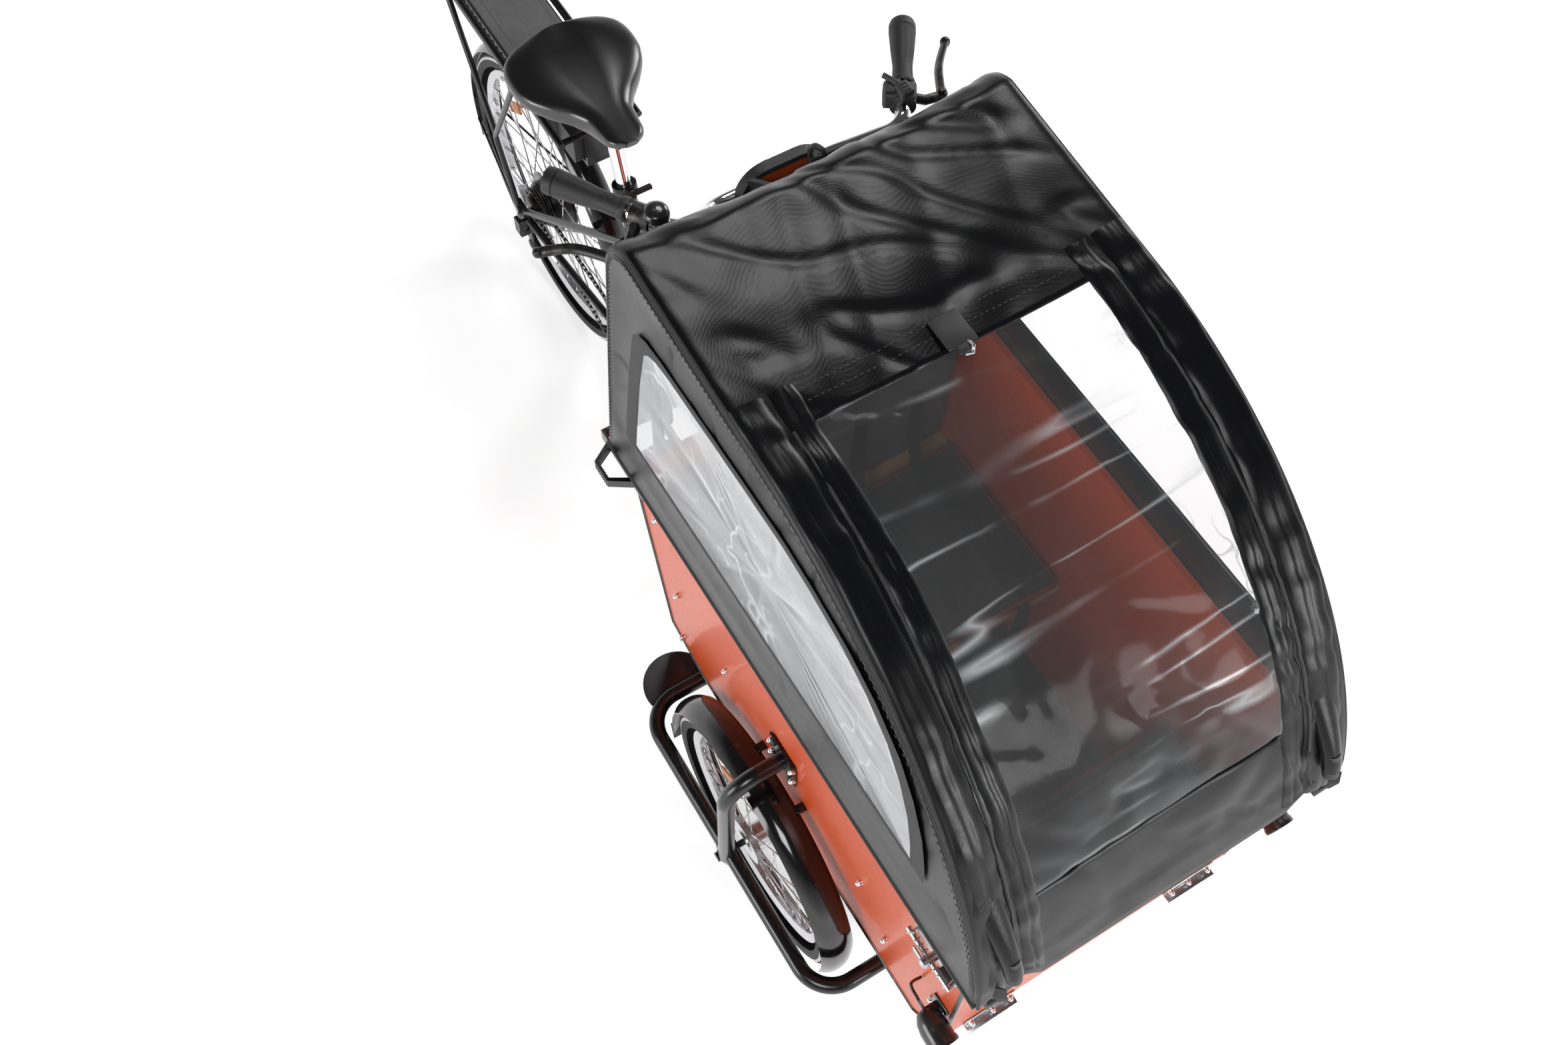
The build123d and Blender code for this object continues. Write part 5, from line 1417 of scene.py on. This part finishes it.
@dataclass
class Wheel:
    """Tyre with moulded tread and a reflective stripe, and the trim of one spoked wheel."""

    word: str
    end: str
    body: Body
    centre: Point
    radius: float
    lugs: int = 90
    section: float = 24.0
    spokes: int = 36
    rim_depth: float = 60.0
    valve_angle: float = 0.35
    reflector_angle: float = 2.2

    def build_tyre(self, around: int = 36) -> None:
        """Makes the tyre, with the given number of cells from bead to bead."""
        shape = Shape()
        centre = at(*self.centre)
        bead, shoulder, rib = (math.radians(v) for v in (118, 48, 4))
        stripe = [6, 7, around - 8, around - 7]
        columns = around + 1
        rows = turns(self.lugs * 4)
        for k, angle in enumerate(rows):
            for j in range(columns):
                phi = -bead + 2 * bead * j / around
                tread = abs(phi) < shoulder
                block = (k % 4 < 2) == (int((phi + 2) * 7) % 2 == 0)
                depth = 1.3 if tread and block else 0.0
                depth += 0.8 if abs(phi) < rib else 0.0
                r = self.section - 0.3 - depth
                out = way(angle) * (self.radius - self.section + r * math.cos(phi))
                shape.verts.append(centre + (out + LEFTWARD * r * math.sin(phi)) / 1000)
            here, after = k * columns, (k + 1) % len(rows) * columns
            for c in range(around):
                shape.faces.append((here + c, here + c + 1, after + c + 1, after + c))
                shape.tints.append(1 if c in stripe else 0)
        made = shape.piece(self.word + "_tyre_tread" + self.end, self.body, TYRE, STRIPE, smooth=30)
        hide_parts(self.word + "_tyre" + self.end)

    def build_trim(self) -> None:
        """Makes the nipples, the valve and the reflectors."""
        shape, reflector = Shape(), Shape()
        centre = at(*self.centre)
        inner = self.radius - self.rim_depth
        for angle in turns(self.spokes):
            shape.lathe(centre + way(angle) * (inner + 0.4) / 1000, -way(angle),
                        [(2.8, 0), (2.8, 2), (2.1, 3), (2.1, 11), (0, 12)], 8)
        out = way(self.valve_angle)
        shape.lathe(centre + out * inner / 1000, -out,
                    [(3, 0), (3, 10), (2.4, 12), (2.4, 32), (3.6, 33), (3.6, 40), (0, 41)], 12)
        turn = Matrix.Rotation(-self.reflector_angle, 3, "Y")
        for side in BOTH:
            place = centre + way(self.reflector_angle) * (inner - 62) / 1000 + LEFTWARD * side * 0.011
            reflector.block(place, (26, 5, 62), 1.5, turn)
        shape.piece(self.word + self.end + "_nipples", self.body, STEEL)
        reflector.piece(self.word + self.end + "_reflectors", self.body, AMBER)


def build_wheels() -> None:
    """Tyres and trim of the three wheels."""
    wheels = [Wheel("front", "_right", Body.RIGHT_WHEEL, (0, -WHEEL_Y, FRONT_RADIUS), FRONT_RADIUS),
              Wheel("front", "_left", Body.LEFT_WHEEL, (0, WHEEL_Y, FRONT_RADIUS), FRONT_RADIUS),
              Wheel("rear", "", Body.REAR_WHEEL, REAR_AXLE, REAR_RADIUS, lugs=116)]
    for wheel in wheels:
        wheel.build_tyre()
    for wheel in wheels:
        wheel.build_trim()


@dataclass
class Mudguard:
    """Smooth curved mudguard with rolled edges."""

    centre: Point
    radius: float
    half_width: float
    start: float
    end: float

    def add_to(self, shape: Shape, steps: int = 96) -> None:
        """Adds the guard's shell to a shape."""
        centre = at(*self.centre)
        ways = [way(math.radians(self.start + (self.end - self.start) * k / steps)) for k in range(steps + 1)]
        for skin in (0.0, -2.0):
            shape.grid([[centre + out * (self.radius + 13.2 + skin - 13.5 * abs(t) ** 2.4) / 1000
                         + LEFTWARD * t * (self.half_width + skin * 0.4) / 1000
                         for t in (-1 + j / 8 for j in range(17))] for out in ways])
        for side in BOTH:
            aside = LEFTWARD * side * (self.half_width - 1.4) / 1000
            shape.tube([centre + out * (self.radius - 0.6) / 1000 + aside for out in ways], 0.0014, 6)


def build_mudguards(box: CargoBox) -> None:
    """Front and rear mudguards with their stays and flaps."""
    front, flaps, rear = Shape(), Shape(), Shape()
    for side in BOTH:
        Mudguard((0, side * WHEEL_Y, FRONT_RADIUS), FRONT_RADIUS, 31.0, -10, 190).add_to(front)
        for x in (-58, 62):
            z = FRONT_RADIUS + math.sqrt(263 ** 2 - x ** 2) - 8
            y0, y1 = WHEEL_Y - 27, box.side_y(z) + 0.4
            front.block(at(x, side * (y0 + y1) / 2, z), (16, y0 - y1, 3.5), 1)
        flaps.block(at(-263, side * WHEEL_Y, 184), (3, 54, 56), 1, Matrix.Rotation(math.radians(-8), 3, "Y"))
    made = front.piece("front_mudguards", Body.FRONT, GLOSS_BLACK, smooth=50)
    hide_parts("front_fenders")
    flaps.piece("front_mud_flaps", Body.FRONT, GRIP)
    axle_x = REAR_AXLE[0]
    Mudguard(REAR_AXLE, REAR_RADIUS, 28.0, 22, 196).add_to(rear)
    rear.block(at(axle_x, 0, 690), (22, 14, 42), 1.5)
    for side in BOTH:
        rear.tube([at(axle_x - 17, side * 79.5, 313), at(axle_x - 85, side * 66, 300),
                   at(axle_x - 322, side * 27, 282)], 0.003, 8)
    made = rear.piece("rear_mudguard", Body.REAR, GLOSS_BLACK, smooth=50)
    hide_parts("rear_fender")


# Studio


@dataclass
class Studio:
    """Camera, lamps and floor."""

    position: Point = (660.0, -756.0, 2873.0)
    azimuth: float = 145.74
    elevation: float = 61.85
    roll: float = 3.21
    focal_px: float = 2318.0
    width_px: float = 2352.0
    sensor_mm: float = 36.0
    floor_half: float = 30.0
    sky_level: float = 0.2
    gloss_level: float = 0.07
    fade: float = 1.9

    def build(self) -> None:
        """Makes the camera, the lamps, the floor and the world."""
        self.camera()
        self.lamp("lamp_top", (-1.3, 1.2, 4.1), 0.8, 30)
        self.lamp("lamp_front", (4.2, 0.9, 2.0), 1.2, 66)
        self.lamp("lamp_right", (0.1, -4.2, 1.7), 1.8, 72)
        self.lamp("lamp_left", (-1.4, 3.8, 2.6), 1.4, 50)
        self.lamp("lamp_key", (2.4, -2.2, 3.9), 1.4, 66)
        self.floor()
        self.world()

    def camera(self) -> None:
        """Camera at the viewing angle of the product picture."""
        a, e, r = (math.radians(v) for v in (self.azimuth, self.elevation, self.roll))
        ahead = Vector((math.cos(a) * math.cos(e), math.sin(a) * math.cos(e), -math.sin(e)))
        right = ahead.cross(UP).normalized()
        up = right.cross(ahead)
        level_right = right * math.cos(r) + up * math.sin(r)
        level_up = up * math.cos(r) - right * math.sin(r)
        data = bpy.data.cameras.new("camera")
        data.sensor_width = self.sensor_mm
        data.lens = self.focal_px / self.width_px * self.sensor_mm
        data.clip_start, data.clip_end = 0.05, 60
        made = bpy.data.objects.new("camera", data)
        turn = Matrix((level_right, level_up, -ahead)).transposed().to_4x4()
        made.matrix_world = Matrix.Translation(at(*self.position)) @ turn
        bpy.context.scene.collection.objects.link(made)
        bpy.context.scene.camera = made

    def lamp(self, name: str, place: Point, size: float, power: float, aim: Point = (0.2, 0, 0.7)) -> None:
        """One soft square lamp aimed at a point.

        Args:
            name: The lamp's name.
            place: Its place in metres.
            size: Its edge in metres.
            power: Its power in watts.
            aim: The point it looks at, in metres.
        """
        data = bpy.data.lights.new(name, "AREA")
        data.shape = "RECTANGLE"
        data.size, data.size_y = size, size
        data.energy = power
        made = bpy.data.objects.new(name, data)
        made.location = place
        made.rotation_mode = "QUATERNION"
        made.rotation_quaternion = (Vector(aim) - Vector(place)).to_track_quat("-Z", "Y")
        bpy.context.scene.collection.objects.link(made)

    def floor(self) -> None:
        """Pale floor that keeps the shadow and glows to white away from it."""
        mesh = bpy.data.meshes.new("floor")
        half = self.floor_half
        mesh.from_pydata([(-half, -half, 0), (half, -half, 0), (half, half, 0), (-half, half, 0)], [],
                         [(0, 1, 2, 3)])
        made = bpy.data.objects.new("floor", mesh)
        bpy.context.scene.collection.objects.link(made)
        paint = bpy.data.materials.new("floor_paper")
        paint.use_nodes = True
        tree = paint.node_tree
        rays = add_node(tree, "LightPath").outputs
        seen = math_node(tree, "MAXIMUM", rays["Is Camera Ray"], rays["Is Glossy Ray"])
        seen = math_node(tree, "MAXIMUM", seen, rays["Is Transmission Ray"])
        place = add_node(tree, "TexCoord").outputs["Object"]
        away = add_node(tree, "VectorMath", {"Vector": place}, operation="LENGTH").outputs["Value"]
        far = limited(tree, rescaled(tree, away, 1.8, 0.3))
        glow = math_node(tree, "ADD", math_node(tree, "MULTIPLY", far, 0.5), 0.45)
        shader = tree.nodes["Principled BSDF"]
        values = {"Base Color": (0.9, 0.9, 0.9, 1), "Roughness": 0.8, "Emission Color": (1, 1, 1, 1),
                  "Emission Strength": math_node(tree, "MULTIPLY", seen, glow)}
        for name, value in values.items():
            feed(tree, shader.inputs[name], value)
        mesh.materials.append(paint)

    def world(self) -> None:
        """Pale surroundings: white where seen, and dark overhead in what is glossy."""
        world = bpy.data.worlds.new("studio")
        bpy.context.scene.world = world
        world.use_nodes = True
        tree = world.node_tree
        back = tree.nodes["Background"]
        rays = add_node(tree, "LightPath").outputs
        seen = math_node(tree, "MAXIMUM", rays["Is Camera Ray"], rays["Is Transmission Ray"])
        place = add_node(tree, "TexCoord").outputs["Generated"]
        parts = add_node(tree, "SeparateXYZ", {"Vector": place})
        height = math_node(tree, "MULTIPLY", parts.outputs["Z"], self.fade)
        walls = limited(tree, math_node(tree, "SUBTRACT", 1.0, height), self.gloss_level)
        change = math_node(tree, "SUBTRACT", walls, self.sky_level)
        shine = math_node(tree, "MULTIPLY", rays["Is Glossy Ray"], change)
        extra = math_node(tree, "MULTIPLY", seen, 1 - self.sky_level)
        total = math_node(tree, "ADD", math_node(tree, "ADD", shine, extra), self.sky_level)
        feed(tree, back.inputs["Color"], (1, 1, 1, 1))
        feed(tree, back.inputs["Strength"], total)


def dress_nodes() -> None:
    """Gives each CAD node its finish and smooth faces."""
    for name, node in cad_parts.items():
        node.data.materials.clear()
        node.data.materials.append(NODE_FINISHES[name].material())
        node.data.polygons.foreach_set("use_smooth", [True] * len(node.data.polygons))
        node.data.set_sharp_from_angle(angle=math.radians(32))


def main() -> None:
    """Builds every piece and the studio."""
    logging.basicConfig(level=logging.INFO)
    bpy.context.scene.view_settings.view_transform = "Standard"
    dress_nodes()
    Studio().build()
    RainTent().build()
    box = CargoBox()
    box.build()
    Fittings(box).build()
    Controls().build()
    RearEnd().build()
    build_mudguards(box)
    build_wheels()


if __name__ == "__main__":
    main()
